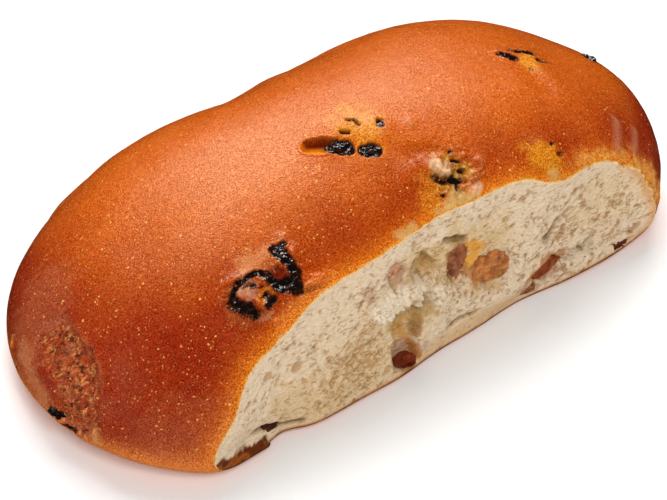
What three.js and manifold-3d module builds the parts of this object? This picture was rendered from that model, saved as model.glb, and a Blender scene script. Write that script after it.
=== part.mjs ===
// A raisin bun: a long bun of enriched dough, baked against a neighbour and pulled away from it along
// one long side. Browned crust covers it, the pulled side shows torn crumb, and raisins sit in both.
// Millimetres, +Z up. The bun lies along X on its sole at Z = 0, and the torn side faces -Y.

import * as THREE from "three";
import { mergeVertices } from "three/addons/utils/BufferGeometryUtils.js";
import Module from "manifold-3d";

const wasm = await Module();
wasm.setup();

// Driving dimensions of the dough. The width is that of the bun before its side was pulled away.
const LENGTH = 150;
const WHOLE_WIDTH = 81.5;
const HEIGHT = 45.9;
const BELT_HEIGHT = 9.25; // level at which the bun is widest
const SOLE_TRIM = 0.7; // how much of the round underside the flat sole takes away
const PLAN_SQUARENESS = 2.64; // exponent of the outline seen from above: 2 is an ellipse
const DOME_SQUARENESS = 1.81; // exponent of the dome above the belt
const BELLY_SQUARENESS = 3.47; // exponent of the turn from the belt to the sole
const DOUGH_GRID = [30, 18, 11]; // faces along the length, the width and the height

const HALF_LENGTH = LENGTH / 2;
const HALF_WIDTH = WHOLE_WIDTH / 2;
const DOME_HEIGHT = HEIGHT - BELT_HEIGHT;
const BELLY_DEPTH = BELT_HEIGHT + SOLE_TRIM;
const BELT_MIDDLE = new THREE.Vector3(0, 0, BELT_HEIGHT);

// Where the rise of the dough departs from that smooth form: reach is how far from the place the
// swelling fades, and height is how far it stands out of the surface, or sinks into it below 0.
const SWELLINGS = [
  { at: [-36, 31, 27], reach: 18, height: 0.9 }, // left shoulder
  { at: [-6, 29, 32], reach: 9, height: -1.6 }, // first crease over the back
  { at: [3, 29, 32], reach: 6, height: 0.5 }, // roll between the creases
  { at: [11, 29, 32], reach: 7, height: -1.3 }, // second crease over the back
  { at: [42, 22, 31], reach: 20, height: 0.6 }, // right shoulder
  { at: [60, 15, 26], reach: 12, height: -0.7 }, // turn from the right shoulder to the end
  { at: [70, -3, 20], reach: 11, height: 1.3 }, // right end
  { at: [-72, 18, 11], reach: 13, height: -0.9 }, // flat of the left end
  { at: [-54, -34, 4], reach: 10, height: 2.6 }, // near foot
  { at: [-62, -26, 2], reach: 9, height: 0.5 }, // turn from the near foot to the end
  { at: [54, -31, 5], reach: 11, height: 1.6 }, // far foot
  { at: [-7, -9, 45], reach: 12, height: -0.6 }, // dip round the split crust
  { at: [-4, -3, 45], reach: 7, height: 0.9 }, // crust lifted above the split
];

// The rough scar on the left end, where that end was pulled off another bun.
const SCAR = { at: [-71.5, -6.5, 18], across: 8.5, depth: 1.3 };

// The torn side: a leaning plane, pulled into hollows and ridges. Offsets run along Y into the bun.
const TEAR_OFFSET = 33; // from the middle of the whole bun, at the sole
const TEAR_LEAN = 0.127; // how far the face leans back for each unit of height
const TEAR_SKEW = 0.032; // how far it turns in for each unit of length
const TEAR_GRID = [48, 17]; // faces along the length and the height
const TEAR_CROWDING = 1.6; // how much closer the faces lie near the sole: 1 is even
const TEAR_SPAN = { length: 136, low: -4, high: 44 };
const TEAR_WAVES = 0.45; // depth of the shallow waves over the whole face
const HOLLOWS = [
  { x: -0.5, z: 24.5, halfLength: 3.6, halfHeight: 4.6, turn: 20, depth: 3.2 }, // pulled pocket
  { x: -4.6, z: 13.5, halfLength: 4.6, halfHeight: 7.5, turn: 15, depth: 6.0 }, // deep pocket
  { x: 12.5, z: 18.5, halfLength: 9.5, halfHeight: 6.5, turn: -30, depth: 1.8 }, // raisin bed
  { x: 18.5, z: 27.5, halfLength: 5.5, halfHeight: 1.6, turn: 8, depth: 1.8 }, // upper crease
  { x: 33.0, z: 17.0, halfLength: 4.0, halfHeight: 1.1, turn: 28, depth: 1.6 }, // far crease
  { x: 31.5, z: 4.6, halfLength: 6.0, halfHeight: 2.6, turn: 12, depth: 1.6 }, // base pocket
  { x: 23.0, z: 0.0, halfLength: 16, halfHeight: 6.0, turn: 0, depth: 2.6 }, // drawn-in base
  { x: 2.0, z: 0.0, halfLength: 12, halfHeight: 6.0, turn: 0, depth: 0.9 }, // drawn-in base
  { x: -25.0, z: 0.0, halfLength: 9.0, halfHeight: 6.0, turn: 0, depth: -0.6 }, // swollen base
  { x: -37.0, z: 0.5, halfLength: 5.5, halfHeight: 5.0, turn: 0, depth: 2.4 }, // notch by the lip
  { x: -45.5, z: 4.6, halfLength: 7.0, halfHeight: 4.0, turn: 0, depth: 1.6 }, // crumb above the lip
  { x: -20.0, z: 18.0, halfLength: 11, halfHeight: 7.0, turn: 30, depth: -0.9 }, // swollen crumb
  { x: -60.0, z: 15.0, halfLength: 16, halfHeight: 14, turn: 0, depth: -2.2 }, // near end
  { x: -6.0, z: 36.0, halfLength: 26, halfHeight: 8.0, turn: 0, depth: 0.9 }, // upper edge
  { x: 35.0, z: 31.0, halfLength: 9.0, halfHeight: 7.0, turn: 0, depth: -1.7 }, // upper edge
  { x: 62.0, z: 13.0, halfLength: 7.0, halfHeight: 10, turn: 0, depth: -0.9 }, // far end
];
// A tongue of the sole's crust that stayed on when the crumb above it came away.
const LIP = { from: -60, to: -41.5, top: 1.8, reach: 5, edge: 0.9 };

// The split in the crust on top, which two raisins fill in part: a slot with rounded ends.
const SPLIT = { at: [-5.0, -7.6, 44.5], size: [18.5, 4.4, 4.4], turn: -38, sunk: 0.15 };

// Raisins. Each lies at the surface point nearest its place, sunk by a share of its thickness.
// turn is the angle of its length in the surface: 0 runs along the bun.
const RAISIN_FOLDS = 5;
const RAISIN_FOLD_DEPTH = 0.09;
const RAISIN_LARGE = 7; // length from which a raisin is drawn more finely
const RAISIN_GAP = 0.3; // room left round each raisin in its bed
const CRUST_RAISINS = {
  raisin_shoulder_upper: { at: [-29, -22.6, 36], size: [11, 6.0, 5.0], turn: 78, sunk: 0.3 },
  raisin_shoulder_lower: { at: [-37.9, -23.8, 33], size: [11, 8.8, 5.5], turn: 40, sunk: 0.28 },
  raisin_split_left: { at: [-6.4, -6.8, 44.8], size: [7.5, 4.4, 4.0], turn: -38, sunk: 0.42 },
  raisin_split_right: { at: [0.2, -11.4, 43.8], size: [7.0, 4.2, 4.0], turn: -28, sunk: 0.4 },
  raisin_burst: { at: [11.0, -21.8, 38.5], size: [9.0, 6.5, 4.5], turn: 25, sunk: 0.4 },
  raisin_far_left: { at: [44.2, 1.0, 37.3], size: [7.5, 4.6, 4.0], turn: 10, sunk: 0.4 },
  raisin_far_right: { at: [51.3, -2.2, 34.2], size: [4.6, 3.4, 3.0], turn: 20, sunk: 0.4 },
  raisin_end_top: { at: [67.8, 1.0, 24], size: [5.8, 3.8, 3.6], turn: 60, sunk: 0.3 },
  raisin_golden: { at: [36.2, -23.8, 33.4], size: [5.0, 3.6, 3.2], turn: 35, sunk: 0.45 },
  raisin_scar_foot: { at: [-74, -5.0, 5.6], size: [9.5, 4.6, 4.2], turn: 0, sunk: 0.32 },
  raisin_left_edge: { at: [-74, 8.0, 9.0], size: [6.5, 3.6, 3.6], turn: 10, sunk: 0.38 },
  raisin_back_left: { at: [-44, 34, 17], size: [9.5, 6.2, 4.6], turn: 30, sunk: 0.36 },
  raisin_back_middle: { at: [4, 38, 20], size: [8.5, 5.4, 4.6], turn: -20, sunk: 0.4 },
  raisin_back_right: { at: [43, 33, 18], size: [10, 6.0, 4.6], turn: 65, sunk: 0.34 },
};
const CRUMB_RAISINS = {
  raisin_torn_left: { x: 8.6, z: 20.2, size: [8.6, 5.4, 4.6], turn: 100, sunk: 0.3 },
  raisin_torn_right: { x: 18.0, z: 15.6, size: [9.4, 7.4, 5.0], turn: 25, sunk: 0.3 },
  raisin_pocket: { x: -6.0, z: 5.2, size: [7.0, 4.2, 4.0], turn: 5, sunk: 0.3 },
  raisin_base_long: { x: 31.8, z: 4.6, size: [8.5, 3.8, 3.6], turn: 12, sunk: 0.3 },
  raisin_base_short: { x: 25.8, z: 1.8, size: [4.8, 2.6, 2.4], turn: 0, sunk: 0.2 },
  raisin_far_foot: { x: 50.0, z: 3.0, size: [6.5, 2.8, 2.8], turn: 8, sunk: 0.3 },
  raisin_veiled: { x: -7.0, z: 27.6, size: [5.2, 4.2, 3.4], turn: 60, sunk: 0.42 },
  raisin_scrap: { x: -13.9, z: 23.1, size: [3.2, 2.4, 2.2], turn: -35, sunk: 0.35 },
  raisin_notch: { x: -38.4, z: 3.8, size: [4.6, 2.8, 2.6], turn: 10, sunk: 0.3 },
};

const crustMaterial = new THREE.MeshStandardMaterial({ color: 0xb4581c, roughness: 0.42, metalness: 0 });
const bakedRaisinMaterial = new THREE.MeshStandardMaterial({ color: 0x1c1210, roughness: 0.3, metalness: 0 });
const softRaisinMaterial = new THREE.MeshStandardMaterial({ color: 0x7a4a32, roughness: 0.4, metalness: 0 });

const fade = (distance, reach) => Math.exp(-((distance / reach) ** 2));
const smooth = (value, low, high) => THREE.MathUtils.smoothstep(value, low, high);
const step = (value, middle, half) => smooth(value, middle - half, middle + half);

// How far out of the smooth form a point lies, measured from the middle of the belt: 1 on its surface.
// It grows evenly along every ray, so dividing a point by it puts the point on the surface.
function formAt(point) {
  const length = Math.abs(point.x / HALF_LENGTH) ** PLAN_SQUARENESS;
  const width = Math.abs(point.y / HALF_WIDTH) ** PLAN_SQUARENESS;
  const plan = (length + width) ** (1 / PLAN_SQUARENESS);
  const domed = point.z >= 0;
  const rise = Math.abs(point.z) / (domed ? DOME_HEIGHT : BELLY_DEPTH);
  const squareness = domed ? DOME_SQUARENESS : BELLY_SQUARENESS;
  return (plan ** squareness + rise ** squareness) ** (1 / squareness);
}

// The outward direction of the smooth form, by differences along each axis.
function outwardAt(point) {
  const apart = 0.05;
  const change = (x, y, z) => {
    const offset = new THREE.Vector3(x, y, z);
    return formAt(point.clone().add(offset)) - formAt(point.clone().sub(offset));
  };
  return new THREE.Vector3(change(apart, 0, 0), change(0, apart, 0), change(0, 0, apart)).normalize();
}

// The crust on the ray from the middle of the belt through a place, and its outward direction.
function crustAt(place) {
  const point = place.clone().sub(BELT_MIDDLE);
  point.divideScalar(formAt(point));
  const outward = outwardAt(point);
  point.add(BELT_MIDDLE);
  let height = 0;
  for (const swelling of SWELLINGS) {
    height += swelling.height * fade(point.distanceTo(new THREE.Vector3(...swelling.at)), swelling.reach);
  }
  const fromScar = point.distanceTo(new THREE.Vector3(...SCAR.at)) / SCAR.across;
  height -= SCAR.depth * (1 - smooth(fromScar, 0.75, 1.05));
  point.addScaledVector(outward, height);
  point.z = Math.max(point.z, 0);
  return { point, outward };
}

// Y of the torn side over a place on it.
function tearAt(x, z) {
  let y = -TEAR_OFFSET + TEAR_SKEW * x + TEAR_LEAN * z;
  y += TEAR_WAVES * Math.sin(x * 0.19 + z * 0.11) * Math.sin(z * 0.27 - x * 0.05 + 1);
  for (const hollow of HOLLOWS) {
    const turn = THREE.MathUtils.degToRad(hollow.turn);
    const along = (x - hollow.x) * Math.cos(turn) + (z - hollow.z) * Math.sin(turn);
    const across = (z - hollow.z) * Math.cos(turn) - (x - hollow.x) * Math.sin(turn);
    y += hollow.depth * fade(Math.hypot(along / hollow.halfLength, across / hollow.halfHeight), 0.8);
  }
  const alongLip = step(x, LIP.from, LIP.edge) * (1 - step(x, LIP.to, LIP.edge));
  return y - LIP.reach * alongLip * (1 - step(z, LIP.top, LIP.edge));
}

// A closed mesh as a solid that can be cut and joined.
function solidOf(geometry) {
  const bare = geometry.clone();
  bare.deleteAttribute("normal");
  bare.deleteAttribute("uv");
  const welded = mergeVertices(bare, 1e-4);
  return new wasm.Manifold(new wasm.Mesh({
    numProp: 3,
    vertProperties: new Float32Array(welded.attributes.position.array),
    triVerts: new Uint32Array(welded.index.array),
  }));
}

function geometryOf(solid) {
  const mesh = solid.getMesh();
  const geometry = new THREE.BufferGeometry();
  geometry.setAttribute("position", new THREE.BufferAttribute(mesh.vertProperties, 3));
  geometry.setIndex(new THREE.BufferAttribute(mesh.triVerts, 1));
  geometry.computeVertexNormals();
  return geometry;
}

// Moves every vertex of a geometry to where a function of its place puts it.
function reshape(geometry, move) {
  const positions = geometry.attributes.position;
  const place = new THREE.Vector3();
  for (let i = 0; i < positions.count; i += 1) {
    const moved = move(place.fromBufferAttribute(positions, i));
    positions.setXYZ(i, moved.x, moved.y, moved.z);
  }
  return geometry;
}

// The whole dough before its side is pulled away: a box of faces blown up to the bun's form.
function doughSolid() {
  const box = new THREE.BoxGeometry(LENGTH, WHOLE_WIDTH, 2, ...DOUGH_GRID);
  return solidOf(reshape(box, (place) => {
    const depth = place.z >= 0 ? DOME_HEIGHT : BELLY_DEPTH;
    return crustAt(new THREE.Vector3(place.x, place.y, BELT_HEIGHT + place.z * depth)).point;
  }));
}

// Everything outside the torn side, as one block whose inner face is the tear.
function neighbourSolid() {
  const { length, low, high } = TEAR_SPAN;
  const block = new THREE.BoxGeometry(length, 1, 1, TEAR_GRID[0], 1, TEAR_GRID[1]);
  return solidOf(reshape(block, (place) => {
    const z = low + (high - low) * (place.z + 0.5) ** TEAR_CROWDING;
    const y = place.y > 0 ? tearAt(place.x, z) : -WHOLE_WIDTH;
    return new THREE.Vector3(place.x, y, z);
  }));
}

// A raisin: a flattened drop with folds that run along it. extra thickens it all round.
function raisinGeometry([length, width, thickness], extra = 0) {
  const drop = new THREE.IcosahedronGeometry(1, length < RAISIN_LARGE ? 1 : 2);
  return reshape(drop, (place) => {
    const round = Math.atan2(place.z, place.y);
    const folds = Math.sin(RAISIN_FOLDS * round + 2 * place.x + length) * (1 - place.x ** 2);
    const girth = 1 + RAISIN_FOLD_DEPTH * folds;
    return new THREE.Vector3(
      place.x * (length / 2 + extra),
      place.y * (width / 2 + extra) * girth,
      place.z * (thickness / 2 + extra) * girth,
    );
  });
}

// Where a piece goes: its length lies in the surface, turned from the bun's own length.
function seatOf({ size, turn, sunk }, point, outward) {
  const along = new THREE.Vector3(1, 0, 0).projectOnPlane(outward);
  if (along.length() < 0.3) along.set(0, 1, 0).projectOnPlane(outward);
  along.normalize().applyAxisAngle(outward, THREE.MathUtils.degToRad(turn));
  const across = new THREE.Vector3().crossVectors(outward, along);
  const centre = point.clone().addScaledVector(outward, -sunk * size[2]);
  return new THREE.Matrix4().makeBasis(along, across, outward).setPosition(centre);
}

function crustSeat(piece) {
  const { point, outward } = crustAt(new THREE.Vector3(...piece.at));
  return seatOf(piece, point, outward);
}

function crumbSeat(piece) {
  const point = new THREE.Vector3(piece.x, tearAt(piece.x, piece.z), piece.z);
  const outward = new THREE.Vector3(TEAR_SKEW, -1, TEAR_LEAN).normalize();
  return seatOf(piece, point, outward);
}

const raisins = [];
for (const [name, piece] of Object.entries(CRUST_RAISINS)) {
  raisins.push({ name, size: piece.size, seat: crustSeat(piece), material: bakedRaisinMaterial });
}
for (const [name, piece] of Object.entries(CRUMB_RAISINS)) {
  raisins.push({ name, size: piece.size, seat: crumbSeat(piece), material: softRaisinMaterial });
}

// The dough without its torn side, its split and the beds of its raisins; loose scraps are dropped.
let dough = doughSolid().subtract(neighbourSolid());
dough = dough.subtract(solidOf(raisinGeometry(SPLIT.size).applyMatrix4(crustSeat(SPLIT))));
for (const { size, seat } of raisins) {
  dough = dough.subtract(solidOf(raisinGeometry(size, RAISIN_GAP).applyMatrix4(seat)));
}
const kept = dough.decompose().reduce((a, b) => (b.volume() > a.volume() ? b : a));

const bun = new THREE.Group();
const body = new THREE.Mesh(geometryOf(kept), crustMaterial);
body.name = "bun";
bun.add(body);
for (const { name, size, seat, material } of raisins) {
  const raisin = new THREE.Mesh(raisinGeometry(size), material);
  raisin.name = name;
  raisin.applyMatrix4(seat);
  bun.add(raisin);
}

// The origin goes to the middle of the whole bun's footprint, on the sole.
const footprint = new THREE.Box3().setFromObject(bun, true).getCenter(new THREE.Vector3());
for (const piece of bun.children) {
  piece.position.x -= footprint.x;
  piece.position.y -= footprint.y;
}

export default bun;
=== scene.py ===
import itertools
import math

import bmesh
import bpy
import numpy as np
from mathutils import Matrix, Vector
from mathutils.kdtree import KDTree


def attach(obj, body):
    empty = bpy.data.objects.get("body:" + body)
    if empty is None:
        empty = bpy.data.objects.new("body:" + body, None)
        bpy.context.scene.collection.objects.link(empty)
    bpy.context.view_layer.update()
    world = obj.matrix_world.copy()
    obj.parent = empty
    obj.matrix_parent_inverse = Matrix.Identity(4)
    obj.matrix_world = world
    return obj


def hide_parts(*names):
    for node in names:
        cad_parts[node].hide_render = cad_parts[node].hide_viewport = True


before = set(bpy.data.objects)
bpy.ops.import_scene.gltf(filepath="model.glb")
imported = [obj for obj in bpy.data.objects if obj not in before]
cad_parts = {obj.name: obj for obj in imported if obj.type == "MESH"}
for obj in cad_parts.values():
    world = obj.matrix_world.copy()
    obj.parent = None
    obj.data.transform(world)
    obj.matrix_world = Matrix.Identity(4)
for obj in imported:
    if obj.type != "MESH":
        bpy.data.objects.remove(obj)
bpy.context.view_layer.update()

# The bun
# One long bun of enriched dough, risen round, egg-washed and baked brown on a tray beside another bun.
# It was pulled off that bun, which left one long side torn open to the soft crumb. Lengths are in mm.
MM = 0.001
LENGTH, WHOLE_WIDTH, HEIGHT = 150.0, 81.5, 45.9
BELT_HEIGHT = 9.25
SOLE_TRIM = 0.7
PLAN_SQUARENESS, DOME_SQUARENESS, BELLY_SQUARENESS = 2.64, 1.81, 3.47
DOME_HEIGHT = HEIGHT - BELT_HEIGHT
BELLY_DEPTH = BELT_HEIGHT + SOLE_TRIM
BELT_MIDDLE = np.array([0.0, 0.0, BELT_HEIGHT])
FOOTPRINT_MIDDLE = np.array([-0.442, 2.851, 0.0])
# Swellings and dents of the risen dough: place, reach and height.
SWELLINGS = [
    ((-36, 31, 27), 18, 0.9),
    ((-6, 29, 32), 9, -1.6),
    ((3, 29, 32), 6, 0.5),
    ((11, 29, 32), 7, -1.3),
    ((42, 22, 31), 20, 0.6),
    ((60, 15, 26), 12, -0.7),
    ((70, -3, 20), 11, 1.3),
    ((-72, 18, 11), 13, -0.9),
    ((-54, -34, 4), 10, 2.6),
    ((-62, -26, 2), 9, 0.5),
    ((54, -31, 5), 11, 1.6),
    ((-7, -9, 45), 12, -0.6),
    ((-4, -3, 45), 7, 0.9),
]
DOUGH_GRID = (108, 60, 34)
TEAR_SKIN, LONG_EDGE = 2.5, 0.8
FINE_CUTS, TEAR_CUTS = 4, 2
# Where the crust has small forms and its mesh is finer: place and reach.
FINE_PLACES = [
    ((-34, -23, 34.5), 11),
    ((-4.5, -8, 45), 11),
    ((12.5, -21.5, 38.5), 9.5),
    ((47, -0.5, 36), 7),
    ((36, -24, 33.5), 6),
    ((-71.5, -7.5, 17), 12.5),
    ((47, -27.5, 27), 5),
    ((53, -28, 23), 5),
    ((58.5, -28, 18), 5),
    ((61.5, -27.5, 12), 5),
    ((-73.2, 12.9, 12.2), 3),
    ((-74.3, -6, 6.5), 6.5),
    ((-44, 34, 17), 7),
    ((4, 38, 20), 6),
    ((43, 33, 18), 7),
]


def fade(distance, reach):
    """1 at no distance, falling away softly over a reach."""
    return np.exp(-((distance / reach) ** 2))


def smooth(value, low, high):
    """0 below a range of values, 1 above it, and a soft rise between."""
    part = np.clip((value - low) / (high - low), 0.0, 1.0)
    return part * part * (3.0 - 2.0 * part)


def away(points, place):
    return np.linalg.norm(points - np.array(place, dtype=float), axis=1)


def line_away(points, start, end):
    """Distances of points from the straight line between two places, and their places along it, 0 to 1."""
    start, end = np.array(start, dtype=float), np.array(end, dtype=float)
    run = end - start
    along = np.clip((points - start) @ run / (run @ run), 0.0, 1.0)
    return np.linalg.norm(points - start - along[:, None] * run, axis=1), along


def path_away(points, path):
    """Distances of points from a path of straight lines, or from its one place."""
    if len(path) == 1:
        return away(points, path[0])
    return np.min([line_away(points, start, end)[0] for start, end in zip(path, path[1:])], axis=0)


def form_at(offsets):
    """1 on the dough's plain form, less inside it and more outside, for offsets from the belt's middle."""
    plan = np.abs(offsets[:, 0] / (LENGTH / 2)) ** PLAN_SQUARENESS
    plan = plan + np.abs(offsets[:, 1] / (WHOLE_WIDTH / 2)) ** PLAN_SQUARENESS
    plan = plan ** (1 / PLAN_SQUARENESS)
    domed = offsets[:, 2] >= 0
    rise = np.abs(offsets[:, 2]) / np.where(domed, DOME_HEIGHT, BELLY_DEPTH)
    squareness = np.where(domed, DOME_SQUARENESS, BELLY_SQUARENESS)
    return (plan ** squareness + rise ** squareness) ** (1 / squareness)


def crust_at(places):
    """The crust on the rays from the middle of the belt through some places, and its outward directions."""
    offsets = places - BELT_MIDDLE
    offsets = offsets / form_at(offsets)[:, None]
    apart = 0.05
    slope = [form_at(offsets + apart * axis) - form_at(offsets - apart * axis) for axis in np.eye(3)]
    outward = np.stack(slope, axis=1)
    outward = outward / np.linalg.norm(outward, axis=1, keepdims=True)
    points = offsets + BELT_MIDDLE
    rise = np.zeros(len(points))
    for place, reach, height in SWELLINGS:
        rise += height * fade(away(points, place), reach)
    return points + outward * rise[:, None], outward


def soft_noise(points, size, seed):
    """Soft random values between -1 and 1 that change over about the given size."""
    side, shift = 32, 100.0
    lattice = np.random.default_rng(seed).uniform(-1.0, 1.0, (side, side, side))
    scaled = points / size + shift
    cell = np.floor(scaled).astype(int)
    part = scaled - cell
    part = part ** 3 * (part * (part * 6.0 - 15.0) + 10.0)
    total = np.zeros(len(points))
    for corner in itertools.product((0, 1), repeat=3):
        spot = (cell + corner) % side
        weight = np.prod(np.where(np.array(corner) == 1, part, 1.0 - part), axis=1)
        total += weight * lattice[spot[:, 0], spot[:, 1], spot[:, 2]]
    return total


def layered_noise(points, layers):
    """Soft noises added up, each given as its strength, its size and its seed."""
    return sum(strength * soft_noise(points, size, seed) for strength, size, seed in layers)


def ridged_noise(points, size, sharpness, seed):
    """1 along thin winding lines, falling towards 0 between them."""
    return (1 - np.abs(soft_noise(points, size, seed))) ** sharpness


def box_skin(counts):
    """The skin of a box from -1 to 1 as welded squares: its corners and its faces."""
    corners = []
    faces = []
    for axis, sign in itertools.product(range(3), (-1, 1)):
        first, second = (axis + 1) % 3, (axis + 2) % 3
        rows, columns = counts[first] + 1, counts[second] + 1
        grid = np.zeros((rows, columns, 3))
        grid[:, :, axis] = sign
        grid[:, :, first] = np.linspace(-1, 1, rows)[:, None]
        grid[:, :, second] = np.linspace(-1, 1, columns)[None, :]
        index = np.arange(rows * columns).reshape(rows, columns) + sum(len(part) for part in corners)
        loop = [index[:-1, :-1], index[1:, :-1], index[1:, 1:], index[:-1, 1:]]
        faces.append(np.stack(loop[::sign], axis=-1).reshape(-1, 4))
        corners.append(grid.reshape(-1, 3))
    welded, places = np.unique(np.round(np.concatenate(corners), 6), axis=0, return_inverse=True)
    return welded, places.reshape(-1)[np.concatenate(faces)]


def mesh_object(name, points, faces):
    mesh = bpy.data.meshes.new(name)
    mesh.from_pydata(((points - FOOTPRINT_MIDDLE) * MM).tolist(), [], [list(face) for face in faces])
    piece = bpy.data.objects.new(name, mesh)
    bpy.context.scene.collection.objects.link(piece)
    return piece


def points_of(mesh):
    flat = np.empty(len(mesh.vertices) * 3, dtype=np.float32)
    mesh.vertices.foreach_get("co", flat)
    return flat.reshape(-1, 3).astype(float) / MM + FOOTPRINT_MIDDLE


def dough_place(corners):
    """Places round the dough for the corners of a box, spread evenly."""
    spread = np.tan(corners * math.pi / 4)
    depth = np.where(spread[:, 2] >= 0, DOME_HEIGHT, BELLY_DEPTH)
    return np.stack([
        spread[:, 0] * LENGTH / 2,
        spread[:, 1] * WHOLE_WIDTH / 2,
        spread[:, 2] * depth + BELT_HEIGHT,
    ], axis=1)


# Relief of the crust: soft dents of the rise, the thin crust lifted over raisins and the openings where they
# show, folds and pleats round them, and the rough scar where the end touched another bun. The rows of LIFTS
# and FOLDS are a path, its reach and its height, and those of OPENINGS a path and its half width.
LIFTS = [
    ([(-29.0, -21.4, 36.8), (-30.2, -25.0, 34.2)], 3.4, 1.2),
    ([(-39.0, -22.4, 34.0), (-36.2, -24.2, 33.4)], 4.2, 1.2),
    ([(-3.5, -5.0, 45.4), (3.5, -8.6, 44.6)], 3.6, 0.5),
    ([(10.2, -19.4, 40.1), (10.9, -21.2, 39.0)], 1.6, 0.6),
    ([(4.4, -19.8, 40.6), (6.6, -20.6, 39.9)], 3.0, 0.4),
    ([(19.2, -22.2, 37.8)], 1.2, 0.5),
    ([(16.3, -23.8, 36.9)], 1.1, 0.5),
    ([(14.9, -26.0, 35.4)], 1.5, 0.4),
    ([(34.6, -24.6, 33.3)], 4.4, 0.6),
    ([(38.6, -27.0, 30.4)], 1.5, 0.4),
    ([(44.0, 1.2, 37.5), (49.0, 0.4, 35.2)], 2.6, 0.4),
    ([(-27.0, -17.9, 39.1)], 1.1, 0.5),
    ([(10.6, -9.8, 44.0)], 1.2, 0.45),
    ([(-73.2, 13.6, 12.6), (-73.4, 12.4, 11.6)], 0.9, 0.8),
    ([(-46.0, 33.4, 18.0), (-41.0, 35.0, 18.4)], 4.4, 0.6),
    ([(4.0, 38.0, 21.0)], 4.0, 0.6),
    ([(42.0, 33.0, 19.6), (44.0, 33.4, 16.4)], 4.2, 0.6),
]
SHOULDER_LIFTS = LIFTS[:2]
LIFT_EDGE, FILM_EDGE = (0.3, 1.5), (0.6, 1.15)
LENS_PATH = [(-41.4, -22.3, 33.0), (-40.3, -24.2, 32.1), (-39.2, -25.7, 31.3)]
OPENINGS = [
    ([(-29.6, -19.0, 38.0), (-28.5, -20.5, 37.5), (-28.2, -22.4, 36.4), (-28.2, -24.3, 35.1)], 1.05),
    ([(-28.2, -24.3, 35.1), (-28.8, -25.8, 33.8), (-29.5, -26.8, 32.9)], 1.1),
    ([(-29.3, -26.2, 33.4), (-31.2, -25.2, 33.8), (-32.4, -24.4, 34.2)], 1.0),
    ([(-32.4, -24.2, 34.4), (-33.0, -23.0, 34.9), (-33.4, -21.9, 35.6), (-34.2, -20.8, 36.0)], 0.75),
    ([(-34.2, -20.8, 36.0), (-36.2, -20.3, 35.8), (-37.6, -20.5, 35.3), (-38.7, -20.2, 35.1)], 0.6),
    (LENS_PATH, 1.1),
    ([(-38.7, -20.2, 35.1), (-40.6, -20.9, 34.2), (-41.6, -21.9, 33.3)], 0.55),
    ([(-34.5, -25.4, 32.9), (-35.6, -26.0, 32.2)], 0.75),
    ([(-31.4, -24.7, 34.1), (-29.6, -25.2, 34.3)], 1.0),
    ([(-29.0, -19.0, 38.2), (-27.4, -19.1, 38.5)], 0.6),
    ([(-6.6, -7.6, 44.8), (-4.6, -9.1, 44.6)], 1.6),
    ([(-1.6, -11.3, 43.9), (0.2, -12.0, 43.6)], 1.45),
    ([(-0.9, -3.6, 45.6), (0.3, -4.6, 45.5), (0.5, -5.6, 45.4)], 0.36),
    ([(-3.4, -5.8, 45.3), (-2.4, -6.5, 45.1)], 0.36),
    ([(5.1, -7.0, 45.0), (4.7, -7.9, 44.8)], 0.75),
    ([(14.6, -18.6, 40.3)], 0.5),
    ([(13.9, -20.2, 39.4), (14.9, -20.8, 39.0)], 0.38),
    ([(13.9, -22.2, 38.2), (14.8, -22.4, 37.9)], 0.42),
    ([(13.6, -23.8, 37.1), (12.2, -23.7, 37.3)], 0.3),
    ([(11.8, -24.5, 36.7), (11.2, -24.9, 36.5)], 0.42),
    ([(8.0, -24.8, 36.6)], 0.42),
    ([(42.3, 1.0, 38.0), (43.6, 0.2, 37.5), (44.6, -1.2, 37.1)], 0.8),
    ([(45.2, 1.9, 36.6), (48.6, 0.9, 35.4), (50.0, 0.2, 34.8)], 0.6),
    ([(50.4, -2.1, 34.5), (51.4, -2.6, 34.0)], 0.75),
    ([(46.6, -4.6, 36.2)], 0.35),
    ([(36.6, -23.3, 33.8)], 0.35),
    ([(36.9, -25.2, 32.3)], 0.5),
    ([(-74.8, -1.9, 6.3), (-74.7, -4.8, 6.3)], 0.9),
    ([(-74.5, -6.9, 6.2), (-74.4, -8.0, 6.2)], 0.6),
    ([(-74.2, -9.4, 6.2), (-73.9, -11.0, 6.2)], 0.7),
]
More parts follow.
